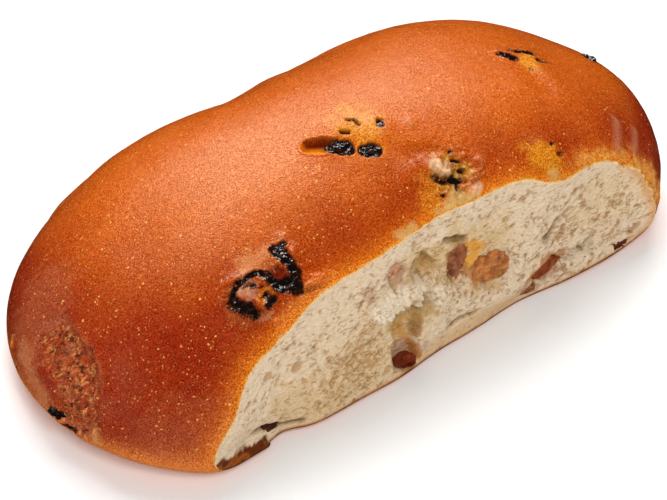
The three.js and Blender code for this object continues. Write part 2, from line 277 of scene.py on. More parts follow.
FOLDS = [
    ([(49.0, -6.0, 35.0), (49.7, -11.9, 33.9)], 3.0, 0.35),
    ([(45.0, -5.0, 36.6), (44.5, -12.0, 35.8)], 3.0, -0.35),
    ([(-42.6, -20.6, 33.6), (-41.1, -19.6, 34.6), (-39.2, -20.2, 34.9)], 0.45, -0.7),
    ([(-43.2, -20.6, 33.3), (-41.6, -19.0, 34.7), (-39.4, -19.2, 35.4)], 0.7, 0.5),
    ([(-43.0, -22.8, 32.2), (-42.2, -24.6, 31.3), (-40.9, -26.6, 30.2)], 0.7, 0.6),
    ([(-29.5, -27.2, 32.6), (-27.2, -27.7, 32.5), (-23.8, -28.0, 32.8)], 0.5, -0.8),
    ([(-28.7, -26.7, 33.2), (-25.6, -27.0, 33.5), (-23.4, -27.6, 33.2)], 0.6, 0.6),
    ([(-25.6, -26.1, 34.2), (-23.0, -27.2, 33.6)], 0.5, 0.4),
    ([(-39.9, -26.2, 30.7), (-38.5, -27.3, 30.2), (-35.9, -27.3, 31.0)], 0.4, 0.5),
    ([(8.2, -21.4, 39.0), (9.5, -22.7, 38.1), (11.4, -23.1, 37.7)], 0.9, -1.3),
    ([(6.4, -15.4, 42.4), (10.4, -16.6, 41.6)], 1.6, -0.7),
    ([(5.9, -16.5, 41.9), (7.2, -17.0, 41.5)], 0.35, -0.5),
    ([(5.2, -16.2, 42.2), (5.8, -17.2, 41.7)], 0.3, 0.35),
    ([(6.0, -16.8, 41.8), (6.4, -17.8, 41.2)], 0.3, 0.35),
    ([(15.4, -25.4, 35.8), (13.6, -27.0, 34.6)], 0.4, 0.4),
    ([(18.6, -23.6, 37.0), (15.6, -23.6, 37.1)], 0.4, 0.45),
    ([(18.4, -24.4, 36.4), (15.4, -24.4, 36.5)], 0.4, 0.35),
    ([(57.4, -20.4, 26.4), (53.6, -25.4, 25.0)], 1.0, 0.14),
    ([(62.3, -20.3, 22.7), (58.8, -24.9, 21.7)], 1.0, 0.16),
    ([(67.3, -19.4, 18.0), (62.3, -26.2, 16.5)], 1.2, 0.16),
    ([(60.4, -20.4, 24.4), (56.4, -25.4, 23.2)], 1.0, -0.16),
    ([(65.2, -19.8, 20.2), (60.8, -25.6, 19.0)], 1.0, -0.16),
    ([(-65.9, -17.7, 20.9), (-62.4, -23.0, 20.4), (-57.3, -27.6, 19.8)], 2.6, -0.4),
    ([(-66.1, 0.3, 24.5), (-66.3, -6.0, 24.1), (-66.8, -12.1, 22.5), (-68.9, -15.0, 19.0)], 1.3, 0.4),
    ([(-66.8, -8.5, 23.4), (-67.6, -9.4, 22.2)], 0.8, -1.0),
]
RUIN_MIDDLE, RUIN_REACH = (12.4, -22.6, 38.0), 5.0
RAGGED_EDGE = [
    (44.0, -28.4, 28.0),
    (50.0, -28.6, 25.4),
    (55.6, -28.6, 20.8),
    (60.2, -28.8, 15.6),
    (62.2, -28.8, 9.0),
]
RAGGED_REACH, RAGGED_HEIGHT = 2.8, 0.2
SCAR_PATH = [(-69.5, -1.4, 20.8), (-70.7, -9.0, 18.0), (-73.0, -11.4, 11.0)]
SCAR_REACH, SCAR_DEPTH, SCAR_EDGE = 6.3, 1.1, (0.7, 1.1)
HOLLOW_MIDDLE, HOLLOW_ALONG, HOLLOW_UP = (-9.3, -5.7, 45.0), (0.68, -0.73, -0.07), (0.57, 0.80, 0.16)
HOLLOW_HALF_LENGTH, HOLLOW_HALF_HEIGHT, HOLLOW_DEPTH = 3.5, 2.1, 2.1
HOLLOW_WALL, HOLLOW_SLOPE = (0.86, 1.02), (-1.1, 0.5)
HOLLOW_INSIDE, HOLLOW_SHADE = (0.98, 1.08), (0.05, 0.55)
HOLLOW_RIM, HOLLOW_RIM_AT, HOLLOW_RIM_REACH = 0.15, 1.1, 0.1
# Where the hollow is painted near black as its shade beside the raisin: place and reach.
HOLLOW_SHADOW, HOLLOW_SHADOW_REACH = (-7.4, -7.0, 45.0), 1.5
PLEAT_MIDDLE, PLEAT_OUTWARD = (-37.6, -23.4, 33.6), (-0.25, -0.42, 0.87)
PLEATS, PLEAT_HEIGHT, PLEATS_FROM = 46, 0.42, 3.6
PLEAT_RING, PLEAT_REACH = 1.9, 0.7
CRACKED_MIDDLE, CRACKED_REACH, CRACK_EDGE = (-37.4, -23.8, 33.4), 3.2, (0.25, 0.45)
OPENING_EDGE, OPENING_DEPTH, OPENING_FLATNESS = 0.3, 1.0, 0.5
SKIN_WRINKLE, SKIN_ROUGHNESS = 0.9, 0.45
LENS_CALM, LENS_CALM_REACH, LENS_CROWN, LENS_CROWN_REACH = 0.7, 1.3, 0.35, 0.8
# Strength, size and seed of each noise, then the heights of fine and of coarse bumps on each kind of crust.
DENTS, SCAR_OUTLINE = [(0.28, 15.0, 1), (0.08, 6.0, 2), (0.04, 2.2, 3)], [(1.2, 5.0, 6), (0.8, 1.7, 5)]
FILM_BUMPS, RUIN_BUMPS, RAGGED_BUMPS, SCAR_BUMPS = (0.65, 0.5), (0.75, 0.5), (0.38, 0.35), (0.5, 0.45)
FOLD_BUMPS, HOLLOW_BUMPS, OPENING_BUMPS, CRACK_BUMPS = (0, 0.15), (0, 0.07), (0.25, 0.2), (0.4, 0)


def crust_relief(points):
    """How far the crust stands out over the dough's form, and how much of it is opening, scar, shaded
    hollow, film over raisins and hollow."""
    rough = soft_noise(points, 0.8, seed=4)
    rougher = soft_noise(points, 1.7, seed=5)

    def bumps(fine, coarse):
        return fine * rough + coarse * rougher

    rise = layered_noise(points, DENTS)
    for path, reach, height in LIFTS:
        rise += height * (1 - smooth(path_away(points, path) / reach, *LIFT_EDGE))
    for path, reach, height in FOLDS:
        rise += height * fade(path_away(points, path) + bumps(*FOLD_BUMPS), reach)

    film = np.zeros(len(points))
    for path, reach, _ in SHOULDER_LIFTS:
        film = np.maximum(film, 1 - smooth(path_away(points, path) / reach, *FILM_EDGE))
    rise += film * bumps(*FILM_BUMPS)
    rise += fade(away(points, RUIN_MIDDLE), RUIN_REACH) * bumps(*RUIN_BUMPS)
    rise += fade(path_away(points, RAGGED_EDGE), RAGGED_REACH) * (bumps(*RAGGED_BUMPS) + RAGGED_HEIGHT)

    from_scar = path_away(points, SCAR_PATH) + layered_noise(points, SCAR_OUTLINE)
    scar = 1 - smooth(from_scar / SCAR_REACH, *SCAR_EDGE)
    rise += scar * (bumps(*SCAR_BUMPS) - SCAR_DEPTH)

    from_hollow = points - np.array(HOLLOW_MIDDLE)
    along = from_hollow @ np.array(HOLLOW_ALONG) / HOLLOW_HALF_LENGTH
    across = from_hollow @ np.array(HOLLOW_UP) / HOLLOW_HALF_HEIGHT
    edge = np.hypot(along, across) + bumps(*HOLLOW_BUMPS)
    rise -= HOLLOW_DEPTH * (1 - smooth(edge, *HOLLOW_WALL)) * smooth(across, *HOLLOW_SLOPE)
    rise += HOLLOW_RIM * fade(edge - HOLLOW_RIM_AT, HOLLOW_RIM_REACH)
    hollow = 1 - smooth(edge, *HOLLOW_INSIDE)

    around = points - np.array(PLEAT_MIDDLE)
    side = np.cross(PLEAT_OUTWARD, (1.0, 0, 0))
    angle = np.arctan2(around @ side, around[:, 0])
    from_lens = path_away(points, LENS_PATH)
    pleats = np.sin(PLEATS * angle) * fade(from_lens - PLEAT_RING, PLEAT_REACH)
    rise += PLEAT_HEIGHT * pleats * (away(points, PLEAT_MIDDLE) > PLEATS_FROM)

    opening = np.zeros(len(points))
    for path, reach in OPENINGS:
        from_path = path_away(points, path) + bumps(*OPENING_BUMPS)
        opening = np.maximum(opening, 1 - smooth(from_path, reach - OPENING_EDGE, reach + OPENING_EDGE))
    cracks = smooth(soft_noise(points, 1.3, seed=7) + bumps(*CRACK_BUMPS), *CRACK_EDGE)
    opening = np.maximum(opening, cracks * fade(away(points, CRACKED_MIDDLE), CRACKED_REACH))
    wrinkles = SKIN_WRINKLE * np.abs(soft_noise(points, 1.2, seed=8)) + SKIN_ROUGHNESS * np.abs(rough)
    wrinkles = wrinkles * (1 - LENS_CALM * fade(from_lens, LENS_CALM_REACH))
    wrinkles = wrinkles + LENS_CROWN * fade(from_lens, LENS_CROWN_REACH)
    rise = rise * (1 - OPENING_FLATNESS * opening) + opening * (wrinkles - OPENING_DEPTH)
    return rise, opening, scar, hollow * smooth(across, *HOLLOW_SHADE), film, hollow


# The torn side: a leaning face of soft crumb with pulled pockets, creases and pores, and a tongue of sole
# crust left on at the near foot. The rows of HOLLOWS are the middle along and up the side, the half length,
# the half height, the turn in degrees and the depth; the first two are the pockets.
TEAR_OFFSET, TEAR_LEAN, TEAR_SKEW = 33.0, 0.127, 0.032
TEAR_WAVES, LONG_WAVE, SHORT_WAVE, WAVE_START = 0.45, (0.19, 0.11), (-0.05, 0.27), 1
HOLLOWS = [
    (-0.5, 24.5, 3.6, 4.6, 20, 3.2),
    (-4.6, 13.5, 4.6, 7.5, 15, 6.0),
    (12.5, 18.5, 9.5, 6.5, -30, 1.8),
    (18.5, 27.5, 5.5, 1.6, 8, 1.8),
    (33.0, 17.0, 4.0, 1.1, 28, 1.6),
    (31.5, 4.6, 6.0, 2.6, 12, 1.6),
    (23.0, 0.0, 16.0, 6.0, 0, 2.6),
    (2.0, 0.0, 12.0, 6.0, 0, 0.9),
    (-25.0, 0.0, 9.0, 6.0, 0, -0.6),
    (-37.0, 0.5, 5.5, 5.0, 0, 2.4),
    (-45.5, 4.6, 7.0, 4.0, 0, 1.6),
    (-20.0, 18.0, 11.0, 7.0, 30, -0.9),
    (-60.0, 15.0, 16.0, 14.0, 0, -2.2),
    (-6.0, 36.0, 26.0, 8.0, 0, 0.9),
    (35.0, 31.0, 9.0, 7.0, 0, -1.7),
    (62.5, 11.5, 7.0, 11.0, 0, -2.0),
]
HOLLOW_SPREAD = 0.8
LIP_FROM, LIP_TO, LIP_TOP, LIP_REACH, LIP_EDGE = -60.0, -41.5, 1.8, 5.0, 0.9
LIP_START, LIP_END = (LIP_FROM, LIP_FROM + 3.0), (LIP_TO - 2.0, LIP_TO + 1.0)
LIP_BAND, LIP_BAND_TOP, LIP_WAVER = (1.9, 2.3), (5.0, 7.0), [(0.35, 1.6, 36)]
TEAR_LENGTH, TEAR_LOW, TEAR_HIGH = 136.0, -4.0, 44.0
CRUMB_PITCH = 0.33
STRAND_TURN, CROSS_TURN = math.radians(20), math.radians(-50)


def hollow_away(x, z, middle_x, middle_z, half_length, half_height, turn):
    """Distance from the middle of a hollow, 1 at its edge."""
    turn = math.radians(turn)
    along = (x - middle_x) * math.cos(turn) + (z - middle_z) * math.sin(turn)
    across = (z - middle_z) * math.cos(turn) - (x - middle_x) * math.sin(turn)
    return np.hypot(along / half_length, across / half_height)


def hollow_depth(x, z):
    return sum(deep * fade(hollow_away(x, z, *form), HOLLOW_SPREAD) for *form, deep in HOLLOWS)


def lip_reach(x, z):
    """How far the tongue of sole crust stands out of the torn side."""
    on_lip = smooth(x, LIP_FROM - LIP_EDGE, LIP_FROM + LIP_EDGE)
    on_lip = on_lip * (1 - smooth(x, LIP_TO - LIP_EDGE, LIP_TO + LIP_EDGE))
    return LIP_REACH * on_lip * (1 - smooth(z, LIP_TOP - LIP_EDGE, LIP_TOP + LIP_EDGE))


def lip_share(flat, from_edge):
    """1 on the smooth brown band of the tongue along the foot of the torn side, 0 elsewhere."""
    band = from_edge + layered_noise(flat, LIP_WAVER)
    share = smooth(flat[:, 0], *LIP_START) * (1 - smooth(flat[:, 0], *LIP_END))
    return share * (1 - smooth(band, *LIP_BAND)) * (1 - smooth(flat[:, 2], *LIP_BAND_TOP))


def tear_at(x, z):
    """Y of the torn side over places on it."""
    y = -TEAR_OFFSET + TEAR_SKEW * x + TEAR_LEAN * z + hollow_depth(x, z)
    waves = np.sin(x * LONG_WAVE[0] + z * LONG_WAVE[1])
    waves = waves * np.sin(z * SHORT_WAVE[1] + x * SHORT_WAVE[0] + WAVE_START)
    return y + TEAR_WAVES * waves - lip_reach(x, z)


dough_corners, dough_faces = box_skin(DOUGH_GRID)
work = bmesh.new()
for corner in dough_corners:
    work.verts.new(corner)
work.verts.ensure_lookup_table()
for face in dough_faces:
    work.faces.new([work.verts[index] for index in face])
work.verts.index_update()
rough_points = crust_at(dough_place(dough_corners))[0]
fine = np.zeros(len(rough_points), dtype=bool)
for place, reach in FINE_PLACES:
    fine |= away(rough_points, place) < reach
fine_edges = [edge for edge in work.edges if fine[edge.verts[0].index] and fine[edge.verts[1].index]]
bmesh.ops.subdivide_edges(work, edges=fine_edges, cuts=FINE_CUTS, use_grid_fill=True)
work.verts.index_update()
rough_points = crust_at(dough_place(np.array([vertex.co for vertex in work.verts])))[0]
by_tear = np.abs(rough_points[:, 1] - tear_at(rough_points[:, 0], rough_points[:, 2])) < TEAR_SKIN
ends = np.array([[vertex.index for vertex in edge.verts] for edge in work.edges])
long_edges = np.linalg.norm(rough_points[ends[:, 0]] - rough_points[ends[:, 1]], axis=1) > LONG_EDGE
chosen = by_tear[ends].all(axis=1) & long_edges
tear_edges = [edge for edge, wanted in zip(work.edges, chosen) if wanted]
bmesh.ops.subdivide_edges(work, edges=tear_edges, cuts=TEAR_CUTS, use_grid_fill=True)
work.verts.index_update()
dough_corners = np.array([vertex.co for vertex in work.verts])
dough_faces = [[vertex.index for vertex in face.verts] for face in work.faces]
work.free()
crust_points, crust_outward = crust_at(dough_place(dough_corners))
crust_points = crust_points + crust_outward * crust_relief(crust_points)[0][:, None]
crust_points[:, 2] = np.maximum(crust_points[:, 2], 0)
bun = mesh_object("bun_body", crust_points, dough_faces)


def pore_depth(along, across, cell, smallest, largest, share, seed):
    """Depth of round pores, at most one in each square cell; share is the part of cells that have one."""
    side = 64
    draws = np.random.default_rng(seed).uniform(0, 1, (side, side, 4))
    column, row = np.floor(along / cell).astype(int), np.floor(across / cell).astype(int)
    depth = np.zeros(along.shape)
    for step_x, step_y in itertools.product((-1, 0, 1), repeat=2):
        draw = draws[(column + step_x) % side, (row + step_y) % side]
        middle_x = (column + step_x + draw[..., 0]) * cell
        middle_y = (row + step_y + draw[..., 1]) * cell
        size = smallest + (largest - smallest) * draw[..., 2] ** 2
        inside = 1 - ((along - middle_x) ** 2 + (across - middle_y) ** 2) / size ** 2
        bowl = size * np.sqrt(np.clip(inside, 0, None))
        depth = np.maximum(depth, np.where(draw[..., 3] < share, bowl, 0))
    return depth


SKIN_TOP, SKIN_FOOT, SKIN_MIDDLE, SKIN_SPREAD, SKIN_EDGE = 5.5, 0.6, 14.0, 24.0, 1.5
SKIN_START, SKIN_END = (-14.0, -4.0), (22.0, 30.0)


def skin_band(x, z):
    """1 on the smooth stretched skin along the foot of the torn side, 0 elsewhere."""
    top = SKIN_TOP * fade(x - SKIN_MIDDLE, SKIN_SPREAD) + SKIN_FOOT
    below_top = 1 - smooth(z, top - SKIN_EDGE, top + SKIN_EDGE)
    return below_top * smooth(x, *SKIN_START) * (1 - smooth(x, *SKIN_END))


# Forms of the crumb. The rows of RAISIN_BEDS are like those of HOLLOWS, and those of SLITS are a path, its
# reach and its depth. Noises are given as strength, size and seed.
FLAKE_PATH = [(-12.8, 0, 21.6), (-8.0, 0, 20.8), (-3.5, 0, 20.0), (1.2, 0, 17.0)]
FLAKE_OUTLINE, FLAKE_EDGE = [(1.1, 2.2, 33), (0.6, 0.8, 34)], (2.2, 3.6)
FLAKE_HEIGHT, FLAKE_ROUGHNESS, FLAKE_LIMITS = 0.9, 1.3, (-0.3, 1.0)
POCKET_PATH = [(-2.8, 0, 15.6), (-5.8, 0, 13.6), (-6.4, 0, 8.0), (-6.6, 0, 4.0)]
POCKET_OUTLINE, POCKET_WALL = [(0.75, 2.2, 12), (0.35, 0.7, 15)], (0.45, 1.0)
POCKET_WIDE, POCKET_DEEP = 3.9, 2.8
UPPER_OUTLINE, UPPER_WALL = [(0.22, 2.2, 12), (0.10, 0.7, 15)], (0.35, 0.95)
OPEN_CRUMB, OPEN_REACH = (-17.0, 0, 9.0), 12.0
CLOSED_PORES, LOOSE_PORES, PORE_PATCHES = 0.2, 0.6, [(0.3, 9.0, 35)]
END_PORES, END_START = 0.1, (25.0, 45.0)
PORE_PULL, PORE_TEXTURE = 1.7, [(0.65, 1.0, 16), (0.4, 0.5, 17)]
PORE_LIMIT, PORE_OPENING, PORE_EDGE = 0.55, 0.5, 0.28
BUBBLE_PULL, BUBBLE_CELL, BUBBLE_SIZES, BUBBLE_SHARE, BUBBLE_DEPTH = 1.3, 4.6, (0.4, 1.2), 0.4, 0.7
STRAND_PULL, CRUMB_WAVES = 3.0, [(0.30, 7.0, 11), (0.12, 2.2, 12)]
STRAND_HEIGHT, GRAIN_HEIGHT, PORE_HEIGHT, SKIN_CALM = 0.08, 0.08, 0.5, 0.85
BED_EDGE, BED_ROUGHNESS, SLIT_ROUGHNESS = (0.7, 1.1), 0.15, 0.2
RAISIN_BEDS = [
    (8.9, 19.6, 6.4, 3.0, 92, 1.6),
    (18.2, 13.8, 5.6, 4.3, -15, 1.6),
    (31.8, 6.8, 5.0, 2.2, 4, 1.4),
    (-7.4, 27.0, 2.6, 2.2, 60, 1.2),
]
SLITS = [
    ([(31.4, 0, 15.4), (32.6, 0, 16.4), (33.6, 0, 17.7), (34.8, 0, 18.2)], 0.9, 0.3),
    ([(40.2, 0, 8.2), (41.0, 0, 7.2)], 0.5, 0.3),
    ([(5.0, 0, 6.2), (8.0, 0, 6.9), (11.8, 0, 6.4)], 0.55, 1.1),
    ([(5.4, 0, 28.6), (7.8, 0, 28.0), (10.4, 0, 26.4)], 0.8, 1.3),
    ([(-43.8, 0, 5.6), (-41.5, 0, 5.8), (-39.0, 0, 5.0)], 0.8, 1.6),
    ([(-38.5, 0, 4.4), (-33.0, 0, 3.4)], 0.7, 0.6),
]


def flaking(flat):
    """1 on the ledge of loose white flakes between the pockets, 0 elsewhere."""
    return 1 - smooth(path_away(flat, FLAKE_PATH) + layered_noise(flat, FLAKE_OUTLINE), *FLAKE_EDGE)


def pocket_away(flat):
    """Distance from the middle of the deep ragged pocket, 1 at its edge."""
    return (path_away(flat, POCKET_PATH) + layered_noise(flat, POCKET_OUTLINE)) / POCKET_WIDE


def strand_place(flat, pull):
    """Places along and across the crumb's pulled strands, those along drawn together by the pull."""
    along = flat[:, 0] * math.cos(STRAND_TURN) + flat[:, 2] * math.sin(STRAND_TURN)
    across = flat[:, 2] * math.cos(STRAND_TURN) - flat[:, 0] * math.sin(STRAND_TURN)
    return np.stack([along / pull, across, np.zeros(len(along))], axis=1)


def crumb_openness(flat):
    """How open the crumb's pores are, about 0 where it is closed and 1 where it is loose."""
    openness = CLOSED_PORES + LOOSE_PORES * fade(away(flat, OPEN_CRUMB), OPEN_REACH)
    return openness + layered_noise(flat, PORE_PATCHES) + END_PORES * smooth(flat[:, 0], *END_START)


def crumb_pores(flat):
    """Depth of the pores that the tear opened."""
    texture = layered_noise(strand_place(flat, PORE_PULL), PORE_TEXTURE)
    limit = PORE_LIMIT - PORE_OPENING * crumb_openness(flat)
    pores = smooth(texture, limit, limit + PORE_EDGE)
    along, across, _ = strand_place(flat, BUBBLE_PULL).T
    bubbles = pore_depth(along, across, BUBBLE_CELL, *BUBBLE_SIZES, BUBBLE_SHARE, seed=18)
    return np.maximum(pores, BUBBLE_DEPTH * bubbles)


def crumb_relief(flat, pores):
    """How far the torn crumb lies behind the tear's own form."""
    x, z = flat[:, 0], flat[:, 2]
    strands = strand_place(flat, STRAND_PULL)
    grainy = soft_noise(flat, 0.7, seed=15)
    relief = layered_noise(flat, CRUMB_WAVES)
    relief += STRAND_HEIGHT * (1 - 2 * np.abs(soft_noise(strands, 1.0, seed=13)))
    relief += STRAND_HEIGHT * soft_noise(strands, 0.6, seed=14)
    relief += GRAIN_HEIGHT * grainy + PORE_HEIGHT * pores
    relief = relief * (1 - SKIN_CALM * skin_band(x, z))

    (*upper_form, upper_deep), (*lower_form, lower_deep) = HOLLOWS[:2]
    from_upper = hollow_away(x, z, *upper_form)
    upper_pocket = 1 - smooth(from_upper + layered_noise(flat, UPPER_OUTLINE), *UPPER_WALL)
    relief += upper_deep * (upper_pocket - fade(from_upper, HOLLOW_SPREAD))
    relief += POCKET_DEEP * (1 - smooth(pocket_away(flat), *POCKET_WALL))
    relief -= lower_deep * fade(hollow_away(x, z, *lower_form), HOLLOW_SPREAD)
    for *form, deep in RAISIN_BEDS:
        relief += deep * (1 - smooth(hollow_away(x, z, *form) + BED_ROUGHNESS * grainy, *BED_EDGE))
    for path, reach, deep in SLITS:
        relief += deep * fade(path_away(flat, path) + SLIT_ROUGHNESS * grainy, reach)
    flakes = np.clip(soft_noise(flat, 1.5, seed=19) + 0.7 * grainy, *FLAKE_LIMITS)
    return relief - flaking(flat) * (FLAKE_HEIGHT + FLAKE_ROUGHNESS * flakes)


block_counts = (int(TEAR_LENGTH / CRUMB_PITCH), 1, int((TEAR_HIGH - TEAR_LOW) / CRUMB_PITCH))
block_corners, block_faces = box_skin(block_counts)
block_points = np.stack([
    block_corners[:, 0] * TEAR_LENGTH / 2,
    np.full(len(block_corners), -WHOLE_WIDTH),
    TEAR_LOW + (block_corners[:, 2] + 1) / 2 * (TEAR_HIGH - TEAR_LOW),
], axis=1)
inner = block_corners[:, 1] > 0
block_points[inner, 1] = tear_at(block_points[inner, 0], block_points[inner, 2])
block = mesh_object("neighbour", block_points, block_faces)

crust_material = bpy.data.materials.new("crust")
crumb_material = bpy.data.materials.new("crumb")
raisin_skin = bpy.data.materials.new("baked_raisin")
ON_CRUST, ON_CRUMB, ON_SKIN = range(3)
for piece, material in itertools.product((bun, block), (crust_material, crumb_material, raisin_skin)):
    piece.data.materials.append(material)
block_indices = np.full(len(block.data.polygons), ON_CRUMB, dtype=np.int32)
block.data.polygons.foreach_set("material_index", block_indices)
tearing = bun.modifiers.new("tearing", "BOOLEAN")
tearing.operation = "DIFFERENCE"
tearing.solver = "MANIFOLD"
tearing.object = block
torn = bpy.data.meshes.new_from_object(bun.evaluated_get(bpy.context.evaluated_depsgraph_get()))
bun.modifiers.clear()
bun.data = torn
bpy.data.objects.remove(block)

work = bmesh.new()
work.from_mesh(torn)
edge_of_tear = set()
for edge in work.edges:
    split = len({face.material_index for face in edge.link_faces}) > 1
    edge.smooth = not split
    if split:
        edge_of_tear.update(vertex.index for vertex in edge.verts)
for face in work.faces:
    face.smooth = True
on_crumb = [all(face.material_index == ON_CRUMB for face in vertex.link_faces) for vertex in work.verts]
on_crumb = np.array(on_crumb)
work.to_mesh(torn)
work.free()

# The crumb settles into the edge of the tear, and has few pores beside the crust and on the stretched skin.
SETTLE_EDGE, NEAR_CRUST, ABOVE_FOOT, NEAR_CALM, SKIN_PORES = (0.0, 1.6), (0.5, 6.0), (4.0, 8.0), 0.7, 0.8
# How deep a pore must be before it is painted tan as its shade.
PORE_SHADOW_SHOWS = (0.05, 0.4)
FLATTEN = np.array([1, 0, 1])
bun_points = points_of(torn)
edge_tree = KDTree(len(edge_of_tear))
for index in edge_of_tear:
    edge_tree.insert(bun_points[index], index)
edge_tree.balance()
from_edge = np.array([edge_tree.find(point)[2] for point in bun_points])
crumb_flat = bun_points[on_crumb] * FLATTEN
crumb_edge = from_edge[on_crumb]
settle = smooth(crumb_edge, *SETTLE_EDGE) * (1 - lip_share(crumb_flat, crumb_edge))
near_crust = smooth(crumb_flat[:, 2], *ABOVE_FOOT) * (1 - smooth(crumb_edge, *NEAR_CRUST))
pores = crumb_pores(crumb_flat) * (1 - NEAR_CALM * near_crust)
pores = pores * (1 - SKIN_PORES * skin_band(crumb_flat[:, 0], crumb_flat[:, 2]))
# Painted shade: the deeper a pore, the more tan its crumb is painted.
pore_shadow = np.zeros(len(bun_points))
pore_shadow[on_crumb] = smooth(pores, *PORE_SHADOW_SHOWS)
bun_points[on_crumb, 1] += crumb_relief(crumb_flat, pores) * settle
torn.vertices.foreach_set("co", ((bun_points - FOOTPRINT_MIDDLE) * MM).astype(np.float32).ravel())
torn.update()


def add_mask(mesh, name, values):
    layer = mesh.attributes.new(name, "FLOAT", "POINT")
    layer.data.foreach_set("value", values.astype(np.float32))


def add_colour(mesh, name, colours):
    layer = mesh.attributes.new(name, "FLOAT_COLOR", "POINT")
    opaque = np.column_stack([colours, np.ones(len(colours))])
    layer.data.foreach_set("color", opaque.astype(np.float32).ravel())


def tinted(colours, tints):
    """Colours brought towards each tint in turn, by the tint's share at each point."""
    for share, tint in tints:
        colours = colours + share[:, None] * (np.array(tint) - colours)
    return colours


# Crust colours: red-brown where the bake is dark, and darker as painted shade where the crust faces away
# from the overhead light; orange on top, golden where the crust is thin on raisins, pink where a film of
# dough dried, and pale where the tear pulled at it. Some tints are painted light: shade in creases, dents
# and the hollow, highlights on ridges and a blister, and sheen on the ends and low on the front. The rows of
# CRUST_TINTS are a path, its reach, a colour and its strength.
DARK_CRUST, CRUST, PALE_CRUST = (0.26, 0.012, 0.0003), (0.46, 0.06, 0.001), (0.57, 0.105, 0.003)
FOOT_CRUST_AND_BOUNCE, GLOW_CRUST, RIM_GLOW = (0.95, 0.29, 0.06), (0.60, 0.10, 0.003), (0.80, 0.24, 0.012)
GOLD_CRUST, CREAM_CRUST, DULL_CREAM = (0.64, 0.22, 0.008), (0.78, 0.54, 0.28), (0.60, 0.36, 0.12)
CAP_WHITE, RUIN_BROWN, RUST_CRUST = (0.74, 0.45, 0.26), (0.20, 0.05, 0.008), (0.44, 0.09, 0.02)
SCAR_RED, SCAR_PIT_AND_SHADE, SCAR_FIBRE = (0.33, 0.042, 0.010), (0.05, 0.006, 0.002), (0.86, 0.34, 0.11)
PINK, PALE_PINK_AND_HIGHLIGHT, MAUVE_CRUST_AND_SHEEN = (0.58, 0.19, 0.07), (0.78, 0.46, 0.28), (0.46, 0.13, 0.055)
DEEP_RED_AND_SHADE, OLIVE, ORANGE = (0.15, 0.009, 0.001), (0.42, 0.19, 0.010), (0.54, 0.14, 0.006)
TAN, PALE_TAN = (0.58, 0.28, 0.07), (0.72, 0.29, 0.05)
WARM_GLOW, HOLLOW_FLOOR = (0.80, 0.24, 0.04), (0.90, 0.24, 0.008)
# Partly real bake and partly painted shade: darker as the crust turns from LIT_SIDE, where the light comes
# from.
LIT_SIDE, LIT_RANGE, END_BAKE_AND_SHADE = np.array([0.25, 0.38, 0.89]), (0.25, 0.97), 0.25
FOOT_RISE, GLOW_RISE, RIM_RISE = (1.5, 13.0), (3.0, 12.0), (2.0, 6.0)
GLOW_WIDTH, RIM_GLOW_WIDTH = 5.0, 2.6
TINT_EDGE = (0.3, 1.2)
# The pale rim along the tear: its width, then places along it that are wider, with reach and added width.
RIM_WIDTH, WIDER_RIM = 0.6, [(36, 10, 0.4), (56, 9, 0.8)]
